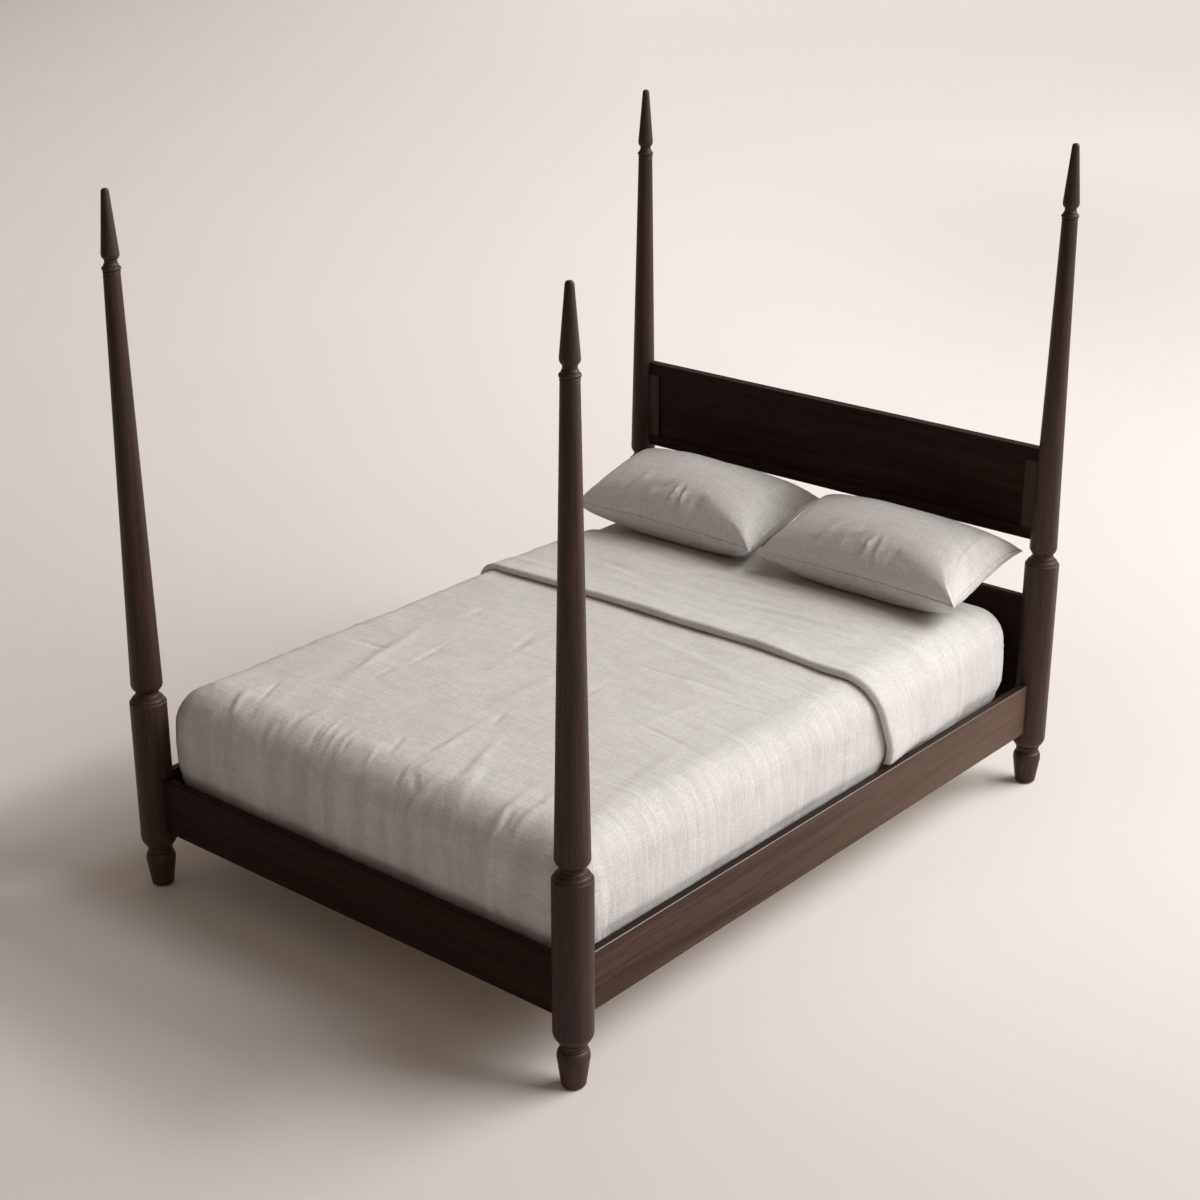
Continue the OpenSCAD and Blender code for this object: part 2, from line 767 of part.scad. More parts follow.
// Pillow surface point: u and v run from corner to corner, side is 1 for the top, less is grown inwards
function pillow_point(u, v, side, less) =
    let (x = (pillow_w / 2 - 1.6 * less) * u * (1 - pillow_pull * (1 - v * v)),
         y = (pillow_d / 2 - 1.6 * less) * v * (1 - 1.6 * pillow_pull * (1 - u * u)),
         crown = pillow_crown + (side < 0 ? pillow_sag : 0) - less,
         z = side * crown * pow((1 - u * u) * (1 - v * v), 0.45))
    [x, y * cos(pillow_tilt) - z * sin(pillow_tilt),
     max(pillow_z + y * sin(pillow_tilt) + z * cos(pillow_tilt), pillow_rest + less)];

pillow_us = [for (i = [-7:7]) sin(90 * i / 7)];
pillow_vs = [for (i = [-5:5]) sin(90 * i / 5)];

module pillow_skin(cx, less) {
    nu = len(pillow_us);
    nv = len(pillow_vs);
    translate([cx, pillow_y, 0])
        loft([for (j = [0:nv - 1]) let (v = pillow_vs[j] * 0.999) concat(
            [for (i = [0:nu - 1]) pillow_point(pillow_us[i], v, 1, less)],
            [for (i = [nu - 2:-1:1]) pillow_point(pillow_us[i], v, -1, less)])]);
}

module pillow_insert(cx) {
    color("#f0ede8")
        pillow_skin(cx, case_t + 0.3);
}

module pillow_case(cx) {
    color("#cbc5bd")
        difference() {
            pillow_skin(cx, 0);
            pillow_skin(cx, case_t);
        }
}

for (i = [0:3]) {
    lower_post(i);
    upper_post(i);
    finial(i);
}
post_studs();
floor_glides();
headboard_top_rail();
headboard_bottom_rail();
headboard_stile(-1);  // headboard_stile_left
headboard_stile(1);  // headboard_stile_right
headboard_panel();
headboard_dowels();
foot_rail();
head_rail();
side_rail(-1);  // side_rail_left
side_rail(1);  // side_rail_right
rail_bolts();
crescent_washers();
rail_nuts();
ledger(-1);  // ledger_left
ledger(1);  // ledger_right
ledger_screws();
centre_beam();
beam_hangers();
hanger_screws();
for (i = [1:slat_count])
    slat(i - 1);
slat_screws();
centre_leg(-1);  // centre_leg_foot
centre_leg(1);  // centre_leg_head
leg_bolts();
leveller(-1);  // leveller_foot
leveller(1);  // leveller_head
mattress();
fitted_sheet();
coverlet();
coverlet_turnback();
pillow_insert(pillow_left_x);  // pillow_left_insert
pillow_case(pillow_left_x);  // pillow_left_case
pillow_insert(pillow_right_x);  // pillow_right_insert
pillow_case(pillow_right_x);  // pillow_right_case
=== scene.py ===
import math

import bpy
import numpy as np
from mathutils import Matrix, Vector, noise


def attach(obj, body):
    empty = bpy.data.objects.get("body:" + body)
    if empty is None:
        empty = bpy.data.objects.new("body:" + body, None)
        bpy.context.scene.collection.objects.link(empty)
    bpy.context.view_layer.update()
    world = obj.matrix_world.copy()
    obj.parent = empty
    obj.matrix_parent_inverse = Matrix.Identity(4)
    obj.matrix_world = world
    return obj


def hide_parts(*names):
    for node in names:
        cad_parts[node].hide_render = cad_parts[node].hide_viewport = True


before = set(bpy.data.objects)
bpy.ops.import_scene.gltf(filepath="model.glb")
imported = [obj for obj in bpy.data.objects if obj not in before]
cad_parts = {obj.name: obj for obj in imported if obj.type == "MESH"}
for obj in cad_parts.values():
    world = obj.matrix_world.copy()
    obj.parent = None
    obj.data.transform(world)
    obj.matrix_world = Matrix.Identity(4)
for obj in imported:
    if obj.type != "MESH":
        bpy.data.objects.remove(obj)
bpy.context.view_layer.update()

# Lower posts. Each is turned from one length of hardwood: a tapering foot under rings, a straight round block that
# the rails are let into, and a coved neck with a bore for the stud. Stained dark walnut under satin lacquer.
# Sizes of the wooden parts are in millimetres, and those of the bedding in metres.
MM = 0.001
POST_X, POST_Y = 786, 1097
CORNERS = {"foot_left": (-1, -1), "foot_right": (1, -1), "head_left": (-1, 1), "head_right": (1, 1)}
BLOCK_TOP = {"foot_left": 579, "foot_right": 579, "head_left": 740, "head_right": 740}
BLOCK_R, WAIST_R, WAIST_RISE = 52, 31.5, 27
STUD_R, STUD_HOLE = 8, 71
# the rails' faces and mortises from the line of the posts, their heights, and the play of a joint
RAIL_OUT, RAIL_IN, MORTISE_IN = 9, 17, 37
RAIL_LOW, RAIL_TOP, HEAD_RAIL_TOP = 182, 347, 622
PLAY = 0.2
TURNED_SHARP = 32        # degrees: a turned edge sharper than this stays crisp


def arc(radius, height, across, up, start, end, steps=12):
    """Points of an elliptical arc about a point of the outline, from one angle in degrees to another."""
    turns = [math.radians(start + (end - start) * i / steps) for i in range(steps + 1)]
    return [(radius + across * math.cos(a), height + up * math.sin(a)) for a in turns]


def select_only(piece):
    bpy.ops.object.select_all(action="DESELECT")
    piece.select_set(True)
    bpy.context.view_layer.objects.active = piece


def finish_with(piece, kind, **settings):
    """Adds a modifier with these settings and applies it."""
    select_only(piece)
    modifier = piece.modifiers.new(kind.title(), kind)
    for name, value in settings.items():
        setattr(modifier, name, value)
    bpy.ops.object.modifier_apply(modifier=modifier.name)


def smooth(piece, sharp):
    """Shades a piece smooth, apart from edges sharper than so many degrees."""
    select_only(piece)
    bpy.ops.object.shade_smooth_by_angle(angle=math.radians(sharp))


def turn(name, outline, x, y, sides=96, edge=0.5):
    """Turns an outline of radius and height about the upright line at x, y, and eases its sharp edges."""
    bpy.ops.object.select_all(action="DESELECT")
    bpy.ops.mesh.primitive_plane_add(size=0.01)
    piece = bpy.context.object
    piece.name = piece.data.name = name
    bpy.ops.object.mode_set(mode="EDIT")
    bpy.ops.mesh.merge(type="CENTER")
    bpy.ops.transform.translate(value=((x + outline[0][0]) * MM, y * MM, outline[0][1] * MM))
    for (r0, z0), (r1, z1) in zip(outline, outline[1:]):
        bpy.ops.mesh.extrude_region_move(TRANSFORM_OT_translate={"value": ((r1 - r0) * MM, 0, (z1 - z0) * MM)})
    bpy.ops.mesh.select_all(action="SELECT")
    bpy.ops.mesh.spin(steps=sides, angle=math.tau, center=(x * MM, y * MM, 0), axis=(0, 0, 1))
    bpy.ops.mesh.select_all(action="SELECT")
    bpy.ops.mesh.remove_doubles(threshold=0.00002)
    bpy.ops.mesh.normals_make_consistent(inside=False)
    bpy.ops.object.mode_set(mode="OBJECT")
    finish_with(piece, "BEVEL", width=edge * MM, segments=2, limit_method="ANGLE", angle_limit=math.radians(38))
    smooth(piece, TURNED_SHARP)
    return piece


def cut_out(piece, low, high):
    """Cuts a square hole, given by two corners in millimetres, out of a piece."""
    bpy.ops.object.select_all(action="DESELECT")
    size = [(b - a) * MM for a, b in zip(low, high)]
    bpy.ops.mesh.primitive_cube_add(size=1, location=[(a + b) / 2 * MM for a, b in zip(low, high)], scale=size)
    chisel = bpy.context.object
    finish_with(piece, "BOOLEAN", object=chisel, operation="DIFFERENCE", solver="EXACT")
    bpy.data.objects.remove(chisel)


class Socket:
    """A socket in a finish's nodes. Sums on it add Math nodes, so that a finish reads as arithmetic."""

    def __init__(self, tree, socket=None):
        self.tree, self.socket = tree, socket

    def node(self, kind, settings=None, sockets=None, out=0):
        """Adds a node, makes its settings, fills or links its sockets, and returns one of its outputs."""
        new = self.tree.nodes.new(kind)
        for name, value in (settings or {}).items():
            setattr(new, name, value)
        for name, value in (sockets or {}).items():
            if isinstance(value, Socket):
                self.tree.links.new(value.socket, new.inputs[name])
            else:
                new.inputs[name].default_value = value
        return Socket(self.tree, new.outputs[out] if len(new.outputs) else None)

    def maths(self, operation, *values):
        return self.node("ShaderNodeMath", {"operation": operation}, dict(enumerate(values)))

    def __add__(self, other):
        return self.maths("ADD", self, other)

    def __sub__(self, other):
        return self.maths("SUBTRACT", self, other)

    def __rsub__(self, other):
        return self.maths("SUBTRACT", other, self)

    def __mul__(self, other):
        return self.maths("MULTIPLY", self, other)

    __radd__, __rmul__ = __add__, __mul__

    def between(self, low, high, start=0.0, end=1.0):
        """Eases from start to end while this value goes from low to high."""
        return self.node("ShaderNodeMapRange", {"interpolation_type": "SMOOTHSTEP"},
                         {0: self, 1: low, 2: high, 3: start, 4: end})

    def mix(self, first, second):
        """This share of the second colour over the first."""
        return self.node("ShaderNodeMix", {"data_type": "RGBA"}, {0: self, 6: first, 7: second}, 2)

    def noise(self, scales, detail=2.0, rough=0.5, twist=0.0):
        """Cloudy noise with so many spots a metre along each axis of this place."""
        place = self.node("ShaderNodeMapping", None, {"Vector": self, "Scale": scales})
        return self.node("ShaderNodeTexNoise", None, {"Vector": place, "Scale": 1.0, "Detail": detail,
                                                     "Roughness": rough, "Distortion": twist})

    def toward(self, direction):
        """How far this place lies along a direction."""
        return self.node("ShaderNodeVectorMath", {"operation": "DOT_PRODUCT"}, {0: self, 1: direction}, 1)

    def size(self):
        return self.maths("ABSOLUTE", self)

    def bump(self, strength, depth):
        return self.node("ShaderNodeBump", None, {"Height": self, "Strength": strength, "Distance": depth})


def paint(code):
    """A colour written as six hex digits, as light."""
    parts = [int(code[i:i + 2], 16) / 255 for i in (0, 2, 4)]
    return (*[p / 12.92 if p < 0.04045 else ((p + 0.055) / 1.055) ** 2.4 for p in parts], 1.0)


def new_finish(name):
    made = bpy.data.materials.new(name)
    made.use_nodes = True
    made.node_tree.nodes.clear()
    return made, Socket(made.node_tree)


def surface(start, sockets):
    shader = start.node("ShaderNodeBsdfPrincipled", None, sockets)
    start.node("ShaderNodeOutputMaterial", None, {"Surface": shader})


def dress(piece, finish):
    """Gives a piece, or a part that comes from the frame, its one finish."""
    if not piece.data.materials:
        piece.data.materials.append(finish)
    for held in piece.material_slots:
        held.material = finish
    return piece


def dark_wood(name, grain, shine, deep, light, warmth=0.6, rail=False):
    """Walnut stain over close-grained hardwood, under satin lacquer. The fibres run along axis grain. On a rail the
    colour grows lighter toward the head end, the level top is painted darker as painted shade, and the long outer
    arris has been rubbed to a gloss."""
    made, start = new_finish(name)
    place = start.node("ShaderNodeTexCoord", None, None, 3)

    def fibres(across, along, **rest):
        return place.noise([along if axis == grain else across for axis in range(3)], **rest)

    bands = fibres(24, 0.8, detail=3, twist=0.7).between(0.36, 0.66)
    streaks = fibres(130, 2.4, detail=4, rough=0.6).between(0.3, 0.7)
    pores = fibres(900, 16, detail=1).between(0.3, 0.56)
    warm = fibres(11, 0.7, detail=3, twist=1.5).between(0.48, 0.7)
    tone = bands * 0.55 + streaks * 0.45
    colour = tone.mix(paint(deep), paint(light))
    colour = (warm * streaks * warmth).mix(colour, paint("502f24"))
    colour = ((1 - pores) * 0.4).mix(colour, paint("1a110e"))
    grainy = pores * 0.7 + streaks * 0.3
    sockets = {"Roughness": 0.46 - tone * 0.08 + (1 - pores) * 0.12, "Specular IOR Level": shine,
               "Normal": grainy.bump(0.35, 0.0003)}
    if rail:
        out, along, up = place.toward((1, 0, 0)).size(), place.toward((0, 1, 0)), place.toward((0, 0, 1))
        top, face = RAIL_TOP * MM, (POST_X + RAIL_OUT) * MM
        # the rail grows lighter toward the head end
        colour = (along.between(-0.7, 1.1) * 0.35).mix(colour, paint("766052"))
        # painted shade: the level top of the rail is painted darker
        colour = (up.between(top - 0.0008, top - 0.0002) * 0.75).mix(colour, paint("140d0a"))
        arris = up.between(top - 0.0032, top - 0.0026) * out.between(face - 0.0032, face - 0.0026)
        sockets.update({"Coat Weight": arris, "Coat Roughness": 0.14})
    surface(start, {"Base Color": colour, **sockets})
    return made


wood_upright = dark_wood("dark_wood_upright", grain=2, shine=0.26, deep="281b15", light="463127")
# bore for the glide, tapering foot, two rings, and the swell into the block
foot_outline = [(0, 19), (3.1, 19), (3.1, 3), (26, 3), *arc(26, 10, 6, 7, -90, 0, 8),
                *arc(33, 86, 9.2, 20, -20, 70, 16), (34, 107),
                *arc(32.8, 111, 2.2, 3.5, -90, 90), (33, 116), (33, 118.5), *arc(34, 123, 2.2, 3.5, -90, 90),
                (37.5, 128), (42.5, 133.5), (47, 140.5), (50.2, 147), (BLOCK_R - 0.5, 153), (BLOCK_R, 157)]
for corner, (sx, sy) in CORNERS.items():
    top = BLOCK_TOP[corner]
    neck = top + WAIST_RISE
    post = turn("lower_post_" + corner + "_turned", [
        *foot_outline, *arc(BLOCK_R - 3, top - 5, 3, 5, 0, 75, 8), (46.5, top + 0.6), (46.5, top + 3),
        *arc(38, top + 3, 8, 9, 0, 80), (36.4, top + 13), (36.4, top + 16), *arc(WAIST_R, top + 16, 4, 6, 0, 85, 8),
        (WAIST_R, neck), (STUD_R, neck), (STUD_R, neck - STUD_HOLE), (0, neck - STUD_HOLE)],
        sx * POST_X, sy * POST_Y)
    # one mortise for the rail that runs across the bed, and one for the side rail
    for side, high in ((False, HEAD_RAIL_TOP if sy > 0 else RAIL_TOP), (True, RAIL_TOP)):
        x_in, y_in = (RAIL_IN + PLAY, 2 * BLOCK_R) if side else (2 * BLOCK_R, RAIL_IN + PLAY)
        x_out, y_out = (-RAIL_OUT - PLAY, MORTISE_IN) if side else (MORTISE_IN, -RAIL_OUT - PLAY)
        xs = sorted((sx * (POST_X - x_out), sx * (POST_X - x_in)))
        ys = sorted((sy * (POST_Y - y_out), sy * (POST_Y - y_in)))
        cut_out(post, (xs[0], ys[0], RAIL_LOW - PLAY), (xs[1], ys[1], high + PLAY))
    smooth(post, TURNED_SHARP)
    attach(dress(post, wood_upright), "frame")
    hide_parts("lower_post_" + corner)

# Upper posts. The tapering shafts are turned with a rounded foot that stands on the neck of the lower post and a
# ringed collar bored for the finial. The two at the head are slotted for the ends of the headboard.
COLLAR_TOP, SPIGOT_R, SPIGOT_L = 1820, 6, 35
SHAFT_R, SHAFT_TOP_R, SHAFT_FROM, SHAFT_TO = 44.5, 23, 640, COLLAR_TOP - 30
BOARD_FRONT, BOARD_BACK, BOARD_LOW, BOARD_TOP = 1085, 1121, 808, 1098
for corner, (sx, sy) in CORNERS.items():
    base = BLOCK_TOP[corner] + WAIST_RISE
    r = SHAFT_R - (SHAFT_R - SHAFT_TOP_R) * (base + 24 - SHAFT_FROM) / (SHAFT_TO - SHAFT_FROM)
    swell = r - WAIST_R
    shaft = turn("upper_post_" + corner + "_turned", [
        (0, base + STUD_HOLE), (STUD_R, base + STUD_HOLE), (STUD_R, base), (WAIST_R, base), (WAIST_R, base + 2),
        (WAIST_R + 0.4 * swell, base + 8), (WAIST_R + 0.74 * swell, base + 13.5),
        (WAIST_R + 0.93 * swell, base + 19), (r, base + 24), (SHAFT_TOP_R, SHAFT_TO),
        (SHAFT_TOP_R - 0.8, COLLAR_TOP - 29), (SHAFT_TOP_R - 0.8, COLLAR_TOP - 28),
        (SHAFT_TOP_R + 0.6, COLLAR_TOP - 27), (SHAFT_TOP_R + 0.6, COLLAR_TOP - 22.5),
        *arc(20, COLLAR_TOP - 15, 5.7, 6, -75, 80), (20.6, COLLAR_TOP - 8.5),
        *arc(17.4, COLLAR_TOP - 8, 3, 6, 0, 80, 8), (17.4, COLLAR_TOP), (SPIGOT_R + 0.05, COLLAR_TOP),
        (SPIGOT_R + 0.05, COLLAR_TOP - SPIGOT_L - 2), (0, COLLAR_TOP - SPIGOT_L - 2)],
        sx * POST_X, sy * POST_Y)
    if sy > 0:
        xs = sorted((sx * (POST_X - 26), sx * (POST_X - 90)))
        cut_out(shaft, (xs[0], BOARD_FRONT - PLAY, BOARD_LOW - PLAY), (xs[1], BOARD_BACK + PLAY, BOARD_TOP + PLAY))
        smooth(shaft, TURNED_SHARP)
    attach(dress(shaft, wood_upright), "frame")
    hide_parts("upper_post_" + corner)

# Finials. A slim turned spire over a small bulb, each with a 12 mm spigot that pushes into its post, so that they
# lift out when the bed is moved. The same stain and lacquer as the posts.
FINIAL_H, FINIAL_R = 192, 24.3
for corner, (sx, sy) in CORNERS.items():
    seat = COLLAR_TOP + 0.1
    spire = turn("finial_" + corner + "_turned", [
        (0, seat - SPIGOT_L), (SPIGOT_R - 0.6, seat - SPIGOT_L), (SPIGOT_R, seat - SPIGOT_L + 1), (SPIGOT_R, seat),
        (17.4, seat), (17.4, seat + 7), *arc(15, seat + 23, FINIAL_R - 15, 15, -75, 15), (10.8, seat + FINIAL_H - 9),
        *arc(3, seat + FINIAL_H - 8, 7.6, 8, 0, 80, 8), (0, seat + FINIAL_H)], sx * POST_X, sy * POST_Y)
    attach(dress(spire, wood_upright), "finial_" + corner)
    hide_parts("finial_" + corner)


# Studs, bolts, screws and glides. Threaded steel studs join the halves of the posts, hanger bolts with crescent
# washers and nuts draw the rails home, and folded steel hangers carry the centre beam. All of these and the screws
# are bright zinc plated. The glides under the feet are black plastic.
def zinc():
    made, start = new_finish("zinc_plate")
    place = start.node("ShaderNodeTexCoord", None, None, 3)
    cloud = place.noise((90, 90, 90), detail=4).between(0.3, 0.7)
    scratch = place.noise((2200, 240, 700), detail=2).between(0.45, 0.7)
    surface(start, {"Base Color": cloud.mix(paint("b6b5ae"), paint("d0cfc6")), "Metallic": 1.0,
                    "Roughness": 0.28 + cloud * 0.16 + scratch * 0.1, "Normal": scratch.bump(0.2, 0.0001)})
    return made


def moulded_plastic(name, low, high):
    made, start = new_finish(name)
    place = start.node("ShaderNodeTexCoord", None, None, 3)
    pits = place.noise((1500, 1500, 1500), detail=2)
    scuffs = place.noise((60, 60, 25), detail=5).between(0.45, 0.75)
    surface(start, {"Base Color": scuffs.mix(paint(low), paint(high)), "Roughness": 0.42 + scuffs * 0.3,
                    "Normal": pits.bump(0.25, 0.0002)})
    return made


zinc_plate = zinc()
for name in ("post_studs", "rail_bolts", "crescent_washers", "rail_nuts", "ledger_screws", "beam_hangers",
             "hanger_screws", "slat_screws", "leg_bolts"):
    dress(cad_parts[name], zinc_plate)
dress(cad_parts["floor_glides"], moulded_plastic("glide_plastic", "1b1a19", "33302d"))

# Levellers. A round foot and its stem, moulded in one piece of dark grey plastic, screw up into each centre leg to
# take up an uneven floor. Scuffed where it stands.
leveller_plastic = moulded_plastic("leveller_plastic", "26262a", "3d3c3b")
for name in ("leveller_foot", "leveller_head"):
    dress(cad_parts[name], leveller_plastic)

# Rails. Four boards of stained hardwood, their ends let into the posts. The rail at the head is the wide one, and its
# top shows under the headboard. The long arrises are rounded by hand. The rails across the bed take a darker copy of
# the finish, as painted shade, and the side rails a lighter one, as painted light.
# painted shade: a darker copy of the finish for the boards across the bed, the foot and head rails and the headboard
wood_across_painted_shade = dark_wood("dark_wood_across", grain=0, shine=0.05, deep="201611", light="30231d", warmth=0.2)
# painted light: a lighter copy of the finish for the side rails, whose level tops are also painted darker as painted
# shade
wood_lengthwise_painted_light_and_shade = dark_wood("dark_wood_lengthwise", grain=1, shine=0.12, deep="32231c", light="543d31", rail=True)
for name in ("foot_rail", "head_rail"):
    dress(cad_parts[name], wood_across_painted_shade)
for name in ("side_rail_left", "side_rail_right"):
    dress(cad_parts[name], wood_lengthwise_painted_light_and_shade)

# Headboard. A framed panel: top and bottom rails run through between the posts, short stiles stand between them,
# and a thin panel floats in a groove 7 mm behind the front. Wooden dowels pin it to the posts.
# painted shade: the headboard's rails and panel take the darker copy of the finish
for name in ("headboard_top_rail", "headboard_bottom_rail", "headboard_panel"):
    dress(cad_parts[name], wood_across_painted_shade)
for name in ("headboard_stile_left", "headboard_stile_right"):
    dress(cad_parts[name], wood_upright)


# Ledgers, slats, centre beam and legs. Planed pine, left bare, screwed from above and from inside the rails, with
# an open gap between slats. The headboard's dowels are turned from the same wood.
def pine(name, grain):
    """Planed pine with its growth rings, and here and there a knot. The fibres run along axis grain."""
    made, start = new_finish(name)
    place = start.node("ShaderNodeTexCoord", None, None, 3)

    def fibres(across, along, **rest):
        return place.noise([along if axis == grain else across for axis in range(3)], **rest)

    rings = fibres(42, 0.9, detail=3, twist=1.1).between(0.4, 0.62)
    fine = fibres(520, 9, detail=2).between(0.3, 0.7)
    knots = fibres(7, 3.2, detail=1).between(0.71, 0.78)
    colour = rings.mix(paint("d3b283"), paint("bd9363"))
    colour = (fine * 0.3).mix(colour, paint("e0c69c"))
    colour = knots.mix(colour, paint("7a5233"))
    surface(start, {"Base Color": colour, "Roughness": 0.62 - rings * 0.1,
                    "Normal": (fine + rings).bump(0.2, 0.0003)})
    return made


pine_across = pine("pine_across", grain=0)
pine_lengthwise = pine("pine_lengthwise", grain=1)
pine_upright = pine("pine_upright", grain=2)
for name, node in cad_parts.items():
    if name.startswith("slat_") and name != "slat_screws":
        dress(node, pine_across)
for name in ("ledger_left", "ledger_right", "centre_beam"):
    dress(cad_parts[name], pine_lengthwise)
for name in ("centre_leg_foot", "centre_leg_head"):
    dress(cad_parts[name], pine_upright)
dress(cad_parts["headboard_dowels"], pine_across)

# Mattress. A sprung mattress in cotton ticking, 1.50 m by 2.05 m, slightly crowned, with a deep soft edge above and
# a firmer one below. It lies on the slats between the rails, and the bedding takes its shape from it.
BED_W, BED_FOOT, BED_HEAD, BED_LOW, BED_TOP = 0.750, -1.026, 1.025, 0.2903, 0.604
EDGE_R, LOW_R = 0.100, 0.055
CROWN, CROWN_RUN = 0.012, 0.365
OVER = 0.011             # the coverlet's face stands this far off the mattress, with the sheet between
BULGE = 0.004            # the sides belly out by this
PAD_TUCK, TUCK_FROM = 0.010, 0.85      # they are drawn in over the last share of their height


def crown(x, y):
    """How much the middle of the mattress stands above its edge."""
    inset = [np.clip((d - EDGE_R) / CROWN_RUN, 0, 1) for d in (BED_W - np.abs(x), y - BED_FOOT, BED_HEAD - y)]
    return CROWN * np.prod([np.sin(math.pi / 2 * d) for d in inset], axis=0)


def corner_places(piece):
    """The places of all corners of a mesh, one to a row."""
    places = np.empty(len(piece.data.vertices) * 3)
    piece.data.vertices.foreach_get("co", places)
    return places.reshape(-1, 3)


def put_places(piece, places):
    piece.data.vertices.foreach_set("co", np.asarray(places, np.float32).ravel())
    piece.data.update()


ARC_R, SIDE_LOW = EDGE_R + OVER, BED_LOW + LOW_R
CORE_X, CORE_FOOT, CORE_HEAD, ARC_Z = BED_W - EDGE_R, BED_FOOT + EDGE_R, BED_HEAD - EDGE_R, BED_TOP - EDGE_R
QUARTER = ARC_R * math.pi / 2


def over_bed(across, along, lift, low, foot_room=0.0, tuck=0.0, slack_corner=0.0):
    """Where cloth comes to lie. across and along are its flat measure from the middle of the bed, and lift is its
    height above the coverlet's own level. Past the mattress's edge it rounds the corner, hangs to low, and is drawn
    in by tuck where it goes down behind the rail. foot_room is how far it stands out at the foot, and slack_corner
    how much more at the two corners there."""
    drop = ARC_Z - low
    side = np.maximum(np.abs(across) - CORE_X, 0) / (QUARTER + drop)
    foot_arc = QUARTER + foot_room * math.pi / 4
    end = np.maximum(CORE_FOOT - along, 0) / (foot_arc + drop) + np.maximum(along - CORE_HEAD, 0) / (QUARTER + drop)
    reach = np.maximum(side, end)
    lesser = np.minimum(side, end) / np.maximum(reach, 1e-9)
    turn_by = math.pi / 4 * np.where(side >= end, lesser, 2 - lesser)
    turn_by = np.where(side <= 0, math.pi / 2, np.where(end <= 0, 0.0, turn_by))
    room = np.where(along < 0, foot_room * np.sin(turn_by) ** 2 + slack_corner * np.sin(2 * turn_by) ** 2, 0)
    bend = QUARTER + room * math.pi / 4
    path = reach * (bend + drop)
    tilt = np.clip(path / bend, 0, 1) * math.pi / 2
    down = np.maximum(path - bend, 0)
    hang = ARC_Z - SIDE_LOW
    bulge = BULGE * np.sin(math.pi * np.clip(down / hang, 0, 1))
    bulge = bulge - tuck * np.clip(down / hang - TUCK_FROM, 0, 1 - TUCK_FROM) / (1 - TUCK_FROM)
    low_r = LOW_R + OVER + lift
    curl = np.clip((down - hang) / low_r, 0, math.pi / 2)
    out = (ARC_R + lift + room) * np.sin(tilt) + bulge - low_r * (1 - np.cos(curl))
    z = np.where(reach > 0, ARC_Z - down + (ARC_R + lift) * np.cos(tilt), BED_TOP + OVER + lift)
    z = np.where(curl > 0, SIDE_LOW - low_r * np.sin(curl), z)
    x = np.clip(across, -CORE_X, CORE_X) + np.sign(across) * out * np.cos(turn_by) * (reach > 0)
    y = np.clip(along, CORE_FOOT, CORE_HEAD) + np.where(along < 0, -1, 1) * out * np.sin(turn_by) * (reach > 0)
    return np.stack([x, y, z + crown(x, y)], axis=1)


def cut_cloth(name, half_width, foot, head, cell):
    """A flat piece of cloth on a grid of cells, with its flat measure kept in a map."""
    across, along = round(2 * half_width / cell), round((head - foot) / cell)
    bpy.ops.object.select_all(action="DESELECT")
    bpy.ops.mesh.primitive_grid_add(x_subdivisions=across, y_subdivisions=along, size=1)
    cloth = bpy.context.object
    cloth.name = cloth.data.name = name
    places = corner_places(cloth) * (2 * half_width, head - foot, 1) + (0, (head + foot) / 2, 0)
    put_places(cloth, places)
    cloth.data.uv_layers[0].name = "cloth"
    return cloth, places[:, 0], places[:, 1]


pad_reach = QUARTER + ARC_Z - SIDE_LOW + LOW_R * math.pi / 2
mattress, across, along = cut_cloth("mattress_pad", CORE_X + pad_reach, CORE_FOOT - pad_reach,
                                    CORE_HEAD + pad_reach, cell=0.025)
put_places(mattress, over_bed(across, along, -OVER, ARC_Z - (pad_reach - QUARTER), tuck=PAD_TUCK))
select_only(mattress)
bpy.ops.object.mode_set(mode="EDIT")
bpy.ops.mesh.select_all(action="SELECT")
bpy.ops.mesh.fill_holes(sides=0)
bpy.ops.mesh.normals_make_consistent(inside=False)
bpy.ops.object.mode_set(mode="OBJECT")
smooth(mattress, 40)


def ticking():
    made, start = new_finish("mattress_ticking")
    place = start.node("ShaderNodeTexCoord", None, None, 3)
    twill = place.noise((900, 900, 900), detail=1)
    quilt = place.noise((14, 14, 14), detail=2).between(0.3, 0.7)
    surface(start, {"Base Color": (quilt * 0.5 + twill * 0.3).mix(paint("dcd7cd"), paint("efebe3")),
                    "Roughness": 0.8 + twill * 0.1, "Normal": (twill + quilt * 3).bump(0.35, 0.0008)})
    return made


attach(dress(mattress, ticking()), "mattress")
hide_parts("mattress")


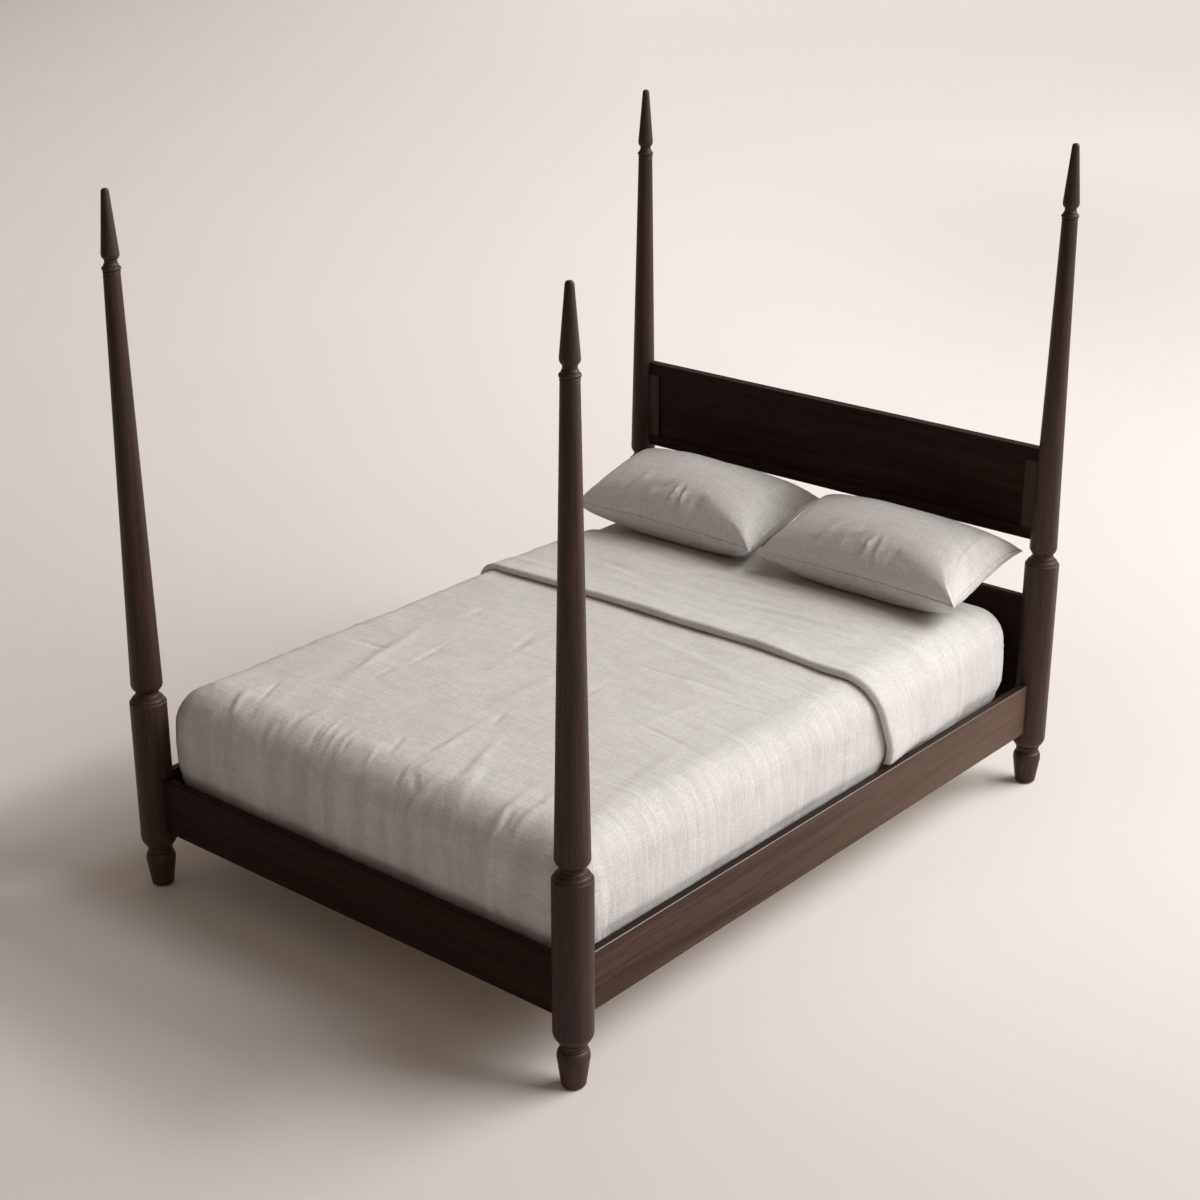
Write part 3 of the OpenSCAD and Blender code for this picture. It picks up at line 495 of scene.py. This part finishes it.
# Fitted sheet. Washed linen, elasticated at the hem, stretched over the mattress and down its sides. It shows
# under the pillows and at the head corners.
def linen(name, low, high, pinches=(), pleated=False):
    """Slubby plain-weave linen. The threads follow the cloth's own flat measure, kept in its cloth map. A pinch is a
    short sharp crease, given by its middle, heading in degrees, half its length and width, and rise. Pleated linen
    also has fine folds where it is drawn over the edges of the bed, and over the foot these folds are painted darker,
    as painted shade."""
    made, start = new_finish(name)
    flat = start.node("ShaderNodeUVMap", {"uv_map": "cloth"})
    warp = flat.noise((430, 26, 1), detail=2, rough=0.6)
    weft = flat.noise((26, 430, 1), detail=2, rough=0.6)
    patch = flat.noise((8, 8, 1), detail=3)
    threads = warp * patch.between(0.42, 0.58, 0.4, 1.0) + weft * patch.between(0.42, 0.58, 1.0, 0.4)
    threads = threads.between(0.42, 0.98)
    slub_warp = flat.noise((150, 6, 1), detail=3, rough=0.6).between(0.42, 0.68)
    slub_weft = flat.noise((7, 190, 1), detail=3, rough=0.6).between(0.4, 0.66)
    grain = flat.noise((215, 215, 1), detail=2).between(0.3, 0.7)
    drift = flat.noise((9, 30, 1), detail=4, rough=0.7, twist=0.3).between(0.34, 0.66)
    cloud = flat.noise((4.2, 4.2, 1), detail=3, twist=0.4).between(0.32, 0.68)
    tone = threads * 0.34 + slub_weft * 0.12 + slub_warp * 0.10 + grain * 0.30 + drift * 0.14
    colour = tone.mix(paint(low), paint(high))
    colour = (cloud * 0.16).mix(colour, paint(low))
    height = threads * 0.0003 + slub_weft * 0.0002 + slub_warp * 0.00015 + grain * 0.0003
    for a, b, heading, reach, width, rise in pinches:
        aim = Vector((math.cos(math.radians(heading)), math.sin(math.radians(heading)), 0))
        over = Vector((-aim.y, aim.x, 0))
        on = (flat.toward(aim) - aim.dot((a, b, 0))).size().between(0.2 * reach, 1.4 * reach, rise, 0)
        height = height + on * (flat.toward(over) - over.dot((a, b, 0))).size().between(0, 1.7 * width, 1, 0)
    if pleated:
        right, along = flat.toward((1, 0, 0)), flat.toward((0, 1, 0))
        sides = right.between(0.34, 0.64) + right.between(-0.55, -0.85) * 0.5
        across_sides = flat.noise((2.2, 30, 1), detail=4, twist=0.5).between(0.35, 0.7)
        uneven = flat.noise((3.4, 3.4, 1)).between(0.4, 0.62, 0.3, 1.0)
        over_foot = flat.noise((13, 1.8, 1), detail=3, twist=0.5).between(0.35, 0.7)
        rumpled = along.between(-0.66, -0.90) * along.between(-1.24, -1.06)
        rumpled = rumpled * flat.noise((15, 11, 1), detail=3, twist=0.5)
        height = height + sides * across_sides * uneven * 0.0013
        height = height + along.between(-0.94, -1.14) * over_foot * 0.0036 + rumpled * 0.0060
        # painted shade: the folds over the foot are painted darker
        colour = (along.between(-0.86, -1.08) * over_foot * 0.4).mix(colour, paint("9d9996"))
    surface(start, {"Base Color": colour, "Roughness": 0.86 - slub_weft * 0.08, "Sheen Weight": 0.08,
                    "Sheen Roughness": 0.5, "Specular IOR Level": 0.25, "Normal": height.bump(0.75, 1.0)})
    return made


def corner_of_loops(cloth):
    """Which corner of the mesh each corner of a face is."""
    loops = np.empty(len(cloth.data.loops), int)
    cloth.data.loops.foreach_get("vertex_index", loops)
    return loops


def write_map(cloth, across, along):
    """Writes a flat measure, one value to each corner of a face, to the cloth map."""
    cloth.data.uv_layers["cloth"].data.foreach_set("uv", np.stack([across, along], axis=1).astype(np.float32).ravel())


def map_cloth(cloth, across, along):
    """Writes the flat measure to the cloth map. Round an upright corner the threads keep their spacing, and the two
    directions meet in a mitre."""
    loops = corner_of_loops(cloth)
    faces = np.repeat(np.arange(len(cloth.data.polygons)), [p.loop_total for p in cloth.data.polygons])
    a, b = across[loops], along[loops]
    side = np.abs(a) - CORE_X
    end = np.maximum(CORE_FOOT - b, b - CORE_HEAD)
    both = (side > 0) & (end > 0)
    lead = np.bincount(faces, side - end)[faces] > 0
    narrow = np.minimum(ARC_R * math.pi / 4 / (np.maximum(side, end) + 1e-9), 1)
    far_b = np.where(b < 0, CORE_FOOT - end * narrow, CORE_HEAD + end * narrow)
    far_a = np.sign(a) * (CORE_X + side * narrow)
    write_map(cloth, np.where(both & ~lead, far_a, a), np.where(both & lead, far_b, b))


SHEET_T = 0.0012
SHEET_UNDER, SHEET_SINK = 0.039, 0.0072      # past the mattress's side, and below the coverlet's face
sheet_reach = QUARTER + (ARC_Z - SIDE_LOW) + SHEET_UNDER
sheet, across, along = cut_cloth("fitted_sheet_cloth", CORE_X + sheet_reach, CORE_FOOT - sheet_reach,
                                 CORE_HEAD + sheet_reach, cell=0.018)
gathers = np.array([noise.noise(Vector((a * 3.0, b * 3.0, 4.0))) for a, b in zip(across, along)])
put_places(sheet, over_bed(across, along, -SHEET_SINK + 0.001 * gathers, ARC_Z - (sheet_reach - QUARTER),
                           tuck=PAD_TUCK))
map_cloth(sheet, across, along)
finish_with(sheet, "SOLIDIFY", thickness=SHEET_T, offset=-1)
smooth(sheet, 60)
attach(dress(sheet, linen("linen_sheet", "b1aeab", "e6e3e1", pleated=True)), "mattress")
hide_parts("fitted_sheet")
2 * (CORE_X + sheet_reach)
CORE_HEAD - CORE_FOOT + 2 * sheet_reach

# Coverlet. One width of washed linen, laid over the sheet and pushed down between the mattress and the rails. It
# hangs a little proud at the foot, and slack gathers in creases where it is drawn over the edges.
COVER_HEAD, COVER_LOW, COVER_T, FOOT_ROOM, CORNER_SLACK = 0.700, 0.300, 0.0025, 0.024, 0.024
cover_side = QUARTER + ARC_Z - COVER_LOW
cover_foot = QUARTER + FOOT_ROOM * math.pi / 4 + ARC_Z - COVER_LOW


def crease(across, along, a, b, heading, length, width, height):
    """A soft pinch in the cloth about a point, running along a heading in degrees, with a dip beside its crest."""
    turned = math.radians(heading)
    on = ((across - a) * math.cos(turned) + (along - b) * math.sin(turned)) / length
    off = ((along - b) * math.cos(turned) - (across - a) * math.sin(turned)) / width + 0.35 * np.sin(2.2 * on)
    return height * np.exp(-on ** 2 * 1.4) * (1.35 / (1 + 2.5 * off ** 2) ** 1.5 - 0.5 * np.exp(-(off - 1.1) ** 2))


def hand(across, along, scale, seed):
    """Slow unevenness of cloth that has been handled, between about -1 and 1."""
    return np.array([noise.fractal(Vector((a * scale, b * scale, seed)), 0.9, 2.1, 3) for a, b in zip(across, along)])


cover, across, along = cut_cloth("coverlet_cloth", CORE_X + cover_side, CORE_FOOT - cover_foot, COVER_HEAD,
                                 cell=0.0102)
slack = 0.0026 * hand(across, along, 2.6, 1.5) + 0.0007 * hand(across, along, 9.0, 8.5)
slack += 0.0022 * np.clip((np.abs(across) - 0.45) / 0.3, 0, 1) * hand(across * 0.12, along, 11.0, 5.5)
slack += 0.0024 * np.clip((-0.85 - along) / 0.2, 0, 1) * hand(across, along * 0.12, 10.0, 6.5)
# each: its middle across and along, heading in degrees, half length, half width and height
COVER_CREASES = (
    ( 0.12, -0.85,  98, 0.20, 0.016,  0.0042), ( 0.25, -0.86, 112, 0.18, 0.016,  0.0038),
    ( 0.47, -1.00, 100, 0.13, 0.017,  0.0044), ( 0.53, -0.96,  97, 0.12, 0.015,  0.0034),
    ( 0.20, -1.06,  84, 0.07, 0.013,  0.0032), (-0.54, -0.97, 125, 0.07, 0.012,  0.0034),
    (-0.36, -1.04, 112, 0.08, 0.016,  0.0032), (-0.13, -0.95, 112, 0.06, 0.014,  0.0030),
    (-0.30, -0.92,  97, 0.07, 0.012,  0.0028), (-0.45, -0.50, 109, 0.23, 0.038,  0.0052),
    (-0.33, -0.40,  95, 0.10, 0.013, -0.0026), (-0.54, -0.48,   7, 0.06, 0.012, -0.0026),
    (-0.53, -0.04,  21, 0.06, 0.015, -0.0026), (-0.46, -0.11, 106, 0.05, 0.016, -0.0026),
    (-0.70, -0.39,  70, 0.05, 0.022, -0.0034), (-0.72, -0.21,  80, 0.05, 0.022, -0.0034),
    ( 0.62, -0.60, 102, 0.24, 0.026,  0.0020), ( 0.30,  0.03,  -7, 0.25, 0.030,  0.0016),
    ( 0.05, -0.45,  96, 0.20, 0.030,  0.0020), (-0.15, -0.20, 100, 0.18, 0.026,  0.0018),
    ( 0.45, -0.30,  88, 0.16, 0.024,  0.0016))
for mark in COVER_CREASES:
    slack += crease(across, along, *mark)
hem = 0.006 + 0.005 * hand(across, along, 5.5, 2.5)
put_places(cover, over_bed(across, along, np.clip(slack, -0.0045, 0.009), COVER_LOW, FOOT_ROOM, hem, CORNER_SLACK))
map_cloth(cover, across, along)
finish_with(cover, "SOLIDIFY", thickness=COVER_T, offset=-1)
smooth(cover, 60)
# each: its middle across and along, heading in degrees, half length, half width and rise
COVER_PINCHES = (
    (-0.54, -0.98, 113, 0.05, 0.011,  0.0032), (-0.51, -0.89, 115, 0.07, 0.009, -0.0030),
    (-0.47, -0.99,  97, 0.03, 0.016, -0.0030), (-0.31, -0.98, 100, 0.04, 0.014, -0.0028),
    (-0.22, -0.98, 110, 0.05, 0.009, -0.0026), (-0.20, -0.95, 107, 0.05, 0.008,  0.0026),
    (-0.16, -0.97, 105, 0.04, 0.008,  0.0024), (-0.11, -0.97, 106, 0.03, 0.008, -0.0028),
    (-0.01, -0.98, 108, 0.04, 0.009,  0.0026), ( 0.01, -0.91, 112, 0.05, 0.009, -0.0028),
    ( 0.13, -0.93,  95, 0.08, 0.011, -0.0034), ( 0.12, -1.01, 104, 0.03, 0.010, -0.0030),
    ( 0.17, -1.00, 135, 0.04, 0.012, -0.0034), ( 0.30, -0.93, 113, 0.10, 0.016,  0.0036),
    ( 0.45, -1.01,  79, 0.05, 0.013,  0.0034), ( 0.49, -1.00, 105, 0.04, 0.011, -0.0032),
    ( 0.12, -0.63, 108, 0.04, 0.010, -0.0026), (-0.34, -0.61,  97, 0.05, 0.010, -0.0026),
    (-0.44, -0.60, 104, 0.05, 0.012, -0.0026), (-0.50, -0.48,   0, 0.04, 0.010, -0.0024),
    (-0.34, -0.41,  98, 0.11, 0.009, -0.0026), (-0.18, -0.20, 108, 0.09, 0.014, -0.0024),
    (-0.47, -1.17, 114, 0.05, 0.009,  0.0030), (-0.38, -1.20, 115, 0.06, 0.012,  0.0030),
    (-0.22, -1.15, 112, 0.05, 0.016, -0.0030), (-0.04, -1.23,  81, 0.06, 0.016, -0.0034),
    ( 0.04, -1.19,  93, 0.06, 0.014, -0.0032), ( 0.24, -1.17,  90, 0.07, 0.020, -0.0036),
    ( 0.34, -1.16,  84, 0.09, 0.022, -0.0036), ( 0.34, -0.10,   4, 0.16, 0.010, -0.0018),
    ( 0.52, -0.42,  -6, 0.14, 0.010, -0.0018), ( 0.20, -0.36,  96, 0.10, 0.010, -0.0018),
    ( 0.58, -0.12,  12, 0.10, 0.009,  0.0018))
linen_cover = linen("linen_cover", "b2afad", "e8e5e3", COVER_PINCHES, pleated=True)
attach(dress(cover, linen_cover), "mattress")
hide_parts("coverlet")
2 * (CORE_X + cover_side)
COVER_HEAD - CORE_FOOT + cover_foot

# Turned-back band. The top half metre of the coverlet is folded back on itself in front of the pillows. Its free
# edge is hemmed thick and rolls over, and the fold at the back is soft.
BAND_FRONT, BAND_BACK, BAND_LOW, BAND_T, ROLL_R = 0.200, 0.7005, 0.352, 0.013, 0.0125
BAND_THINS, FOLD_T = 0.008, 0.0044           # how much thinner it is by the fold at the back
BAND_GAP, BAND_ROUND = 0.0006, 1.06          # clear of the coverlet, and the measure once round the folded cloth
UNDER_END, ROLL_END, TOP_END = 0.40, 0.52, 0.96
band_reach = CORE_X + QUARTER + ARC_Z - BAND_LOW
band, across, share = cut_cloth("coverlet_turned_back", band_reach, 0.0, 1.0, cell=0.0125)
share = (share - share.min()) / (share.max() - share.min())
front = BAND_FRONT + 0.085 * np.clip((np.abs(across) - CORE_X + 0.05) / (band_reach - CORE_X), 0, 1) ** 1.5
front += 0.004 * hand(across, 0 * across, 3.0, 7.5)
roll_r = ROLL_R * (1 + 0.16 * hand(across, 0 * across, 4.0, 4.4) - 0.35 * np.clip(-across / 1.6, 0, 1))
depth = BAND_BACK - front - roll_r
# once round the folded cloth: forward along the underside, round the front roll, back over the top, down the fold
under, roll, fold = share < UNDER_END, (share >= UNDER_END) & (share < ROLL_END), share > TOP_END
on_top = np.clip((share - ROLL_END) / (TOP_END - ROLL_END), 0, 1)
round_roll = math.radians(-90) - np.clip((share - UNDER_END) / (ROLL_END - UNDER_END), 0, 1) * math.pi
round_fold = np.clip((share - TOP_END) / (1 - TOP_END), 0, 1) * math.pi
y = front + roll_r + depth * np.where(under, 1 - share / UNDER_END, on_top)
y = np.where(roll, front + roll_r + roll_r * np.cos(round_roll), y)
y = np.where(fold, BAND_BACK + FOLD_T / 2 * np.sin(round_fold), y)
thick = BAND_T - BAND_THINS * on_top ** 2
lift = np.where(under, BAND_GAP, thick + (2 * roll_r - BAND_T) * np.exp(-(on_top * depth / 0.075) ** 2))
lift = np.where(roll, BAND_GAP + roll_r + roll_r * np.sin(round_roll), lift)
lift = np.where(fold, BAND_GAP + FOLD_T * (1 + np.cos(round_fold)) / 2, lift)
folds = 0.0034 * hand(across * 0.5, y * 3.0, 2.6, 3.3) + 0.0010 * hand(across * 0.6, y, 12.0, 2.2)
BAND_CREASES = (
    (-0.36, 0.42,  -6, 0.14, 0.018,  0.0036), ( 0.20, 0.45,  11, 0.22, 0.022,  0.0040),
    ( 0.10, 0.28,  -6, 0.20, 0.018,  0.0034), (-0.40, 0.57,   5, 0.10, 0.015,  0.0030),
    ( 0.33, 0.36,   7, 0.10, 0.014,  0.0028), (-0.60, 0.30,   2, 0.14, 0.024,  0.0040),
    (-0.15, 0.34,  -3, 0.25, 0.022,  0.0030), ( 0.62, 0.42,  38, 0.12, 0.022,  0.0030),
    ( 0.05, 0.60,   3, 0.25, 0.020,  0.0026), (-0.33, 0.44,  -1, 0.15, 0.028, -0.0040),
    (-0.26, 0.56,   6, 0.10, 0.020, -0.0030), (-0.06, 0.56,  16, 0.12, 0.013, -0.0028),
    ( 0.06, 0.42,   1, 0.08, 0.015, -0.0036), ( 0.33, 0.45,  10, 0.21, 0.017, -0.0036),
    ( 0.33, 0.29, 100, 0.06, 0.015, -0.0026))
for mark in BAND_CREASES:
    folds += crease(across, y, *mark)
free = (~under & ~roll & ~fold) * np.clip(on_top * 6, 0, 1) * np.clip((1 - on_top) * 12, 0, 1)
put_places(band, over_bed(across, y, lift + free * np.clip(folds, -0.005, 0.007), BAND_LOW, tuck=0.008))
loops = corner_of_loops(band)
write_map(band, across[loops], share[loops] * BAND_ROUND)
select_only(band)
bpy.ops.object.mode_set(mode="EDIT")
bpy.ops.mesh.select_all(action="SELECT")
bpy.ops.mesh.remove_doubles(threshold=0.0001)
bpy.ops.mesh.select_all(action="DESELECT")
bpy.ops.mesh.select_mode(type="EDGE")
bpy.ops.mesh.select_non_manifold()
bpy.ops.mesh.fill_holes(sides=0)
bpy.ops.mesh.select_all(action="SELECT")
bpy.ops.mesh.normals_make_consistent(inside=False)
bpy.ops.object.mode_set(mode="OBJECT")
smooth(band, 60)
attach(dress(band, linen("linen_band", "b2afad", "e8e5e3", pleated=True)), "mattress")
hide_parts("coverlet_turnback")
2 * band_reach

# Pillows. Two feather pillows in plain linen cases, cut 0.76 m by 0.51 m, sewn all round and then filled, so that
# the sides draw in and the corners stay as ears. They lean back a little, their undersides lie flat, and their
# fronts keep a few dents of the hand that plumped them.
CASE_X, CASE_Y = 0.380, 0.254
PILLOW_W, PILLOW_D, PILLOW_UP, PILLOW_DOWN, PILLOW_TILT = 0.740, 0.400, 0.112, 0.136, math.radians(14)
PILLOW_Y, PILLOW_Z = 0.872, 0.745
REST, ON_BAND, BAND_EDGE, GIVE = 0.6296, 0.026, 0.725, 0.012      # what it lies on, and how softly it settles
SEAM, WELT = 0.006, 0.0035
WIND_X, WIND_Y, WIND_END = 4.01, 6.0, 1.524  # the flat case is wound on a sine, so cells stay even on the round
CASE_CLOTH = {"quality": 6, "mass": 0.25, "air_damping": 4, "tension_stiffness": 30, "compression_stiffness": 30,
              "tension_damping": 25, "compression_damping": 25, "shear_stiffness": 8, "bending_stiffness": 0.6,
              "use_pressure": True, "uniform_pressure_force": 4}
# each: where its middle stands across the bed, its seed, and how far its dents are moved aside
PILLOWS = {"pillow_left": (-0.385, 21.0, 0.028), "pillow_right": (0.362, 47.0, 0.032)}
PILLOW_DENTS = ((-0.006, -0.138, 84, 0.046, 0.012, 0.0068), (0.036, -0.144, 95, 0.044, 0.012, 0.0070),
                (-0.065, -0.120, 60, 0.040, 0.020, -0.0070), (0.015, -0.136, 88, 0.030, 0.010, -0.0050),
                (0.090, -0.150, 75, 0.035, 0.018, -0.0045), (-0.170, -0.120, 70, 0.050, 0.024, 0.0050),
                (0.290, 0.020, 100, 0.100, 0.014, 0.0040), (0.325, -0.060, 95, 0.080, 0.012, -0.0035))
linen_case = linen("linen_case", "b4b1ae", "ece9e7")
for name, (middle, seed, aside) in PILLOWS.items():
    pillow, across, along = cut_cloth(name + "_filled", CASE_X, -CASE_Y, CASE_Y, cell=0.0125)
    loops = corner_of_loops(pillow)
    write_map(pillow, across[loops] + seed, along[loops] + seed)
    select_only(pillow)
    bpy.ops.object.mode_set(mode="EDIT")
    bpy.ops.mesh.select_all(action="SELECT")
    bpy.ops.mesh.extrude_region_move(TRANSFORM_OT_translate={"value": (0, 0, SEAM)})
    bpy.ops.mesh.select_all(action="SELECT")
    bpy.ops.mesh.normals_make_consistent(inside=False)
    bpy.ops.object.mode_set(mode="OBJECT")
    places = corner_places(pillow)
    face = np.where(places[:, 2] > SEAM / 2, 1, -1)
    u, v = [np.sin(places[:, i] * wind) / math.sin(WIND_END) for i, wind in enumerate((WIND_X, WIND_Y))]
    rise = np.clip((1 - u ** 2) * (1 - v ** 2), 0, 1) ** 0.45
    filled = np.stack([PILLOW_W / 2 * u * (0.95 + 0.05 * v ** 2), PILLOW_D / 2 * v * (0.92 + 0.08 * u ** 2),
                       np.where(face > 0, PILLOW_UP, -PILLOW_DOWN) * rise + 0.0015 * face], axis=1)
    lumps = np.array([noise.noise(Vector((a * 9, b * 9, seed))) for a, b in places[:, :2]])
    put_places(pillow, filled * 0.97 + np.outer(0.006 * lumps * rise, (0, 0, 1)))
    cloth = pillow.modifiers.new("Filled", "CLOTH")
    for setting, value in CASE_CLOTH.items():
        setattr(cloth.settings, setting, value)
    cloth.settings.effector_weights.gravity = 0
    cloth.collision_settings.use_collision = False
    for picture in range(1, 21):
        bpy.context.scene.frame_set(picture)
    select_only(pillow)
    bpy.ops.object.modifier_apply(modifier=cloth.name)
    bpy.context.scene.frame_set(1)
    moved = corner_places(pillow) - filled
    length = np.linalg.norm(moved, axis=1, keepdims=True)
    filled += moved * 0.02 * np.tanh(length / 0.02) / np.maximum(length, 1e-9)
    ears = np.abs(u * v) ** 5
    filled += np.stack([0.006 * ears * (u > 0), 0.017 * ears * (v > 0), -0.028 * ears * (v > 0)], axis=1)
    filled[:, 2] -= 0.012 * np.abs(u) ** 10 * (1 - v ** 2) + 0.010 * rise * np.clip(-u, 0, 1) ** 2 * np.clip(v, 0, 1)
    lean, low = math.cos(PILLOW_TILT), math.sin(PILLOW_TILT)
    filled = filled @ np.array([[1, 0, 0], [0, lean, low], [0, -low, lean]]) + (middle, PILLOW_Y, PILLOW_Z)
    rest = REST + ON_BAND * np.clip((BAND_EDGE - filled[:, 1]) / 0.02, 0, 1)
    sunk = np.minimum(filled[:, 2] - rest, 0)
    filled[:, 2] += GIVE * (np.exp(sunk / GIVE) - 1) - sunk
    put_places(pillow, filled)
    # the seam round the case is marked by a second finish until it is drawn out as a welt
    for polygon in pillow.data.polygons:
        polygon.material_index = len({face[v] for v in polygon.vertices}) - 1
    pillow.data.materials.append(linen_case)
    pillow.data.materials.append(linen_case)
    finish_with(pillow, "SUBSURF", levels=1, render_levels=1)
    flat = np.empty((len(pillow.data.vertices), 2))
    flat[corner_of_loops(pillow)] = [spot.uv for spot in pillow.data.uv_layers["cloth"].data]
    a, b = [np.sin(np.clip((flat[:, i] - seed) * wind, -WIND_END, WIND_END)) * size / 2
            for i, (wind, size) in enumerate(((WIND_X, PILLOW_W), (WIND_Y, PILLOW_D)))]
    front = np.array([vertex.normal.dot((0, -0.5, 0.86)) > 0 for vertex in pillow.data.vertices])
    for mark in PILLOW_DENTS:
        put_places(pillow, corner_places(pillow) + np.outer(front * crease(a - aside, b, *mark), (0, -0.7, 0.71)))
    bpy.ops.object.mode_set(mode="EDIT")
    bpy.ops.mesh.select_mode(type="FACE")
    bpy.ops.mesh.select_all(action="DESELECT")
    bpy.ops.object.mode_set(mode="OBJECT")
    for polygon in pillow.data.polygons:
        polygon.select = polygon.material_index == 1
        polygon.material_index = 0
    bpy.ops.object.mode_set(mode="EDIT")
    bpy.ops.mesh.extrude_region_shrink_fatten(TRANSFORM_OT_shrink_fatten={"value": WELT})
    bpy.ops.object.mode_set(mode="OBJECT")
    smooth(pillow, 55)
    pillow.data.materials.pop()
    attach(dress(pillow, linen_case), name)
    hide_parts(name + "_case", name + "_insert")

# Studio. A pale floor that runs out of sight and glows faintly far off, with painted shade on the camera's side of
# the bed and a painted shadow along the edge of the bed's shadow, one large soft lamp behind the bed's right side,
# and dim warm air all round. The camera stands off the right-hand foot post.
EYE, EYE_LOOKS_DOWN, EYE_TURNED = (3.7353, -4.4874, 3.0719), 21.702, 40.196
AWAY, RIGHT = (-0.65, 0.76, 0), (0.76, 0.65, 0)          # away from the camera over the floor, and to its right
HALF_X, HALF_Y = 0.80, 1.12                              # half the bed's width and length, for its shadow


def shown_to(start):
    """1 for what the camera sees, straight or in metal and glass, and 0 for the light that falls on things."""
    seen, gloss, clear = [start.node("ShaderNodeLightPath", None, None, f"Is {ray} Ray")
                          for ray in ("Camera", "Glossy", "Transmission")]
    return seen.maths("MAXIMUM", seen, gloss.maths("MAXIMUM", gloss, clear))


bpy.ops.object.select_all(action="DESELECT")
bpy.ops.mesh.primitive_plane_add(size=120)
floor = bpy.context.object
floor.name = "floor"
made, start = new_finish("studio_floor")
place = start.node("ShaderNodeTexCoord", None, None, 3)
beyond, rightward = place.toward(AWAY), place.toward(RIGHT)
blotch = place.noise((0.8, 0.8, 0.8), detail=3)
# the glow grows with the way beyond the bed, and is weaker toward the left and close by on the right
fade = beyond.maths("EXPONENT", (1.2 - beyond) * 0.105)
leftward = rightward * 0.067 + 0.97
far = (1 - fade.maths("MINIMUM", fade, 1.0)) * leftward.maths("MINIMUM", leftward, 1.0)
far = far * (1 - rightward.between(0.5, 3.5) * beyond.between(12.5, 5.2) * 0.75)
pale = blotch.mix(paint("e0dbd6"), paint("e3dfdb"))
# painted shade: the floor is painted darker on the camera's side of the bed
pale = beyond.between(-0.4, -1.9).mix(pale, paint("d8d2cc"))
# painted shadow: a darker patch where the bed's shadow thins out, round its left-hand foot corner
x, y = place.toward((1, 0, 0)), place.toward((0, 1, 0))
off_bed = (x.size() - HALF_X).maths("MAXIMUM", x.size() - HALF_X, y.size() - HALF_Y)
shaded = off_bed.between(0.2, 0.46) * off_bed.between(0.95, 0.6) * x.between(0.5, 0.1) * y.between(-0.3, -0.8)
pale = shaded.mix(pale, paint("c3beb8"))
surface(start, {"Base Color": pale, "Roughness": 0.9, "Specular IOR Level": 0.1,
                "Emission Color": (shown_to(start) * far).mix(paint("000000"), paint("dad7d4")),
                "Emission Strength": 0.92})
dress(floor, made)


def lamp(name, place, aim, size, power, colour):
    light = bpy.data.lights.new(name, "AREA")
    light.shape, light.size, light.size_y, light.energy, light.color = "RECTANGLE", size[0], size[1], power, colour
    holder = bpy.data.objects.new(name, light)
    bpy.context.scene.collection.objects.link(holder)
    holder.location = place
    holder.rotation_euler = (Vector(aim) - Vector(place)).to_track_quat("-Z", "Y").to_euler()


lamp("softbox_right", place=(7.08, 6.39, 8.0), aim=(0, 0, 0.4), size=(10.6, 8.6), power=2150, colour=(1.0, 1.0, 1.0))

world = bpy.data.worlds.new("studio_air")
bpy.context.scene.world = world
world.use_nodes = True
world.node_tree.nodes.clear()
air = Socket(world.node_tree)
shown = shown_to(air)
heading = air.node("ShaderNodeTexCoord")
backdrop = heading.toward(RIGHT).between(-0.6, 0.8, 0.2, 1.0)
glow = air.node("ShaderNodeBackground", None, {"Color": shown.mix(paint("fbe7d6"), paint("ebe5df")),
                                               "Strength": shown * backdrop + (1 - shown) * 0.262})
air.node("ShaderNodeOutputWorld", None, {"Surface": glow})

eye = bpy.data.cameras.new("camera")
eye.sensor_width, eye.lens = 36, 64.725
eye.clip_start, eye.clip_end = 0.1, 200
camera = bpy.data.objects.new("camera", eye)
bpy.context.scene.collection.objects.link(camera)
camera.location = EYE
camera.rotation_euler = (math.radians(90 - EYE_LOOKS_DOWN), 0, math.radians(EYE_TURNED))
bpy.context.scene.camera = camera
bpy.context.scene.view_settings.view_transform = "Standard"
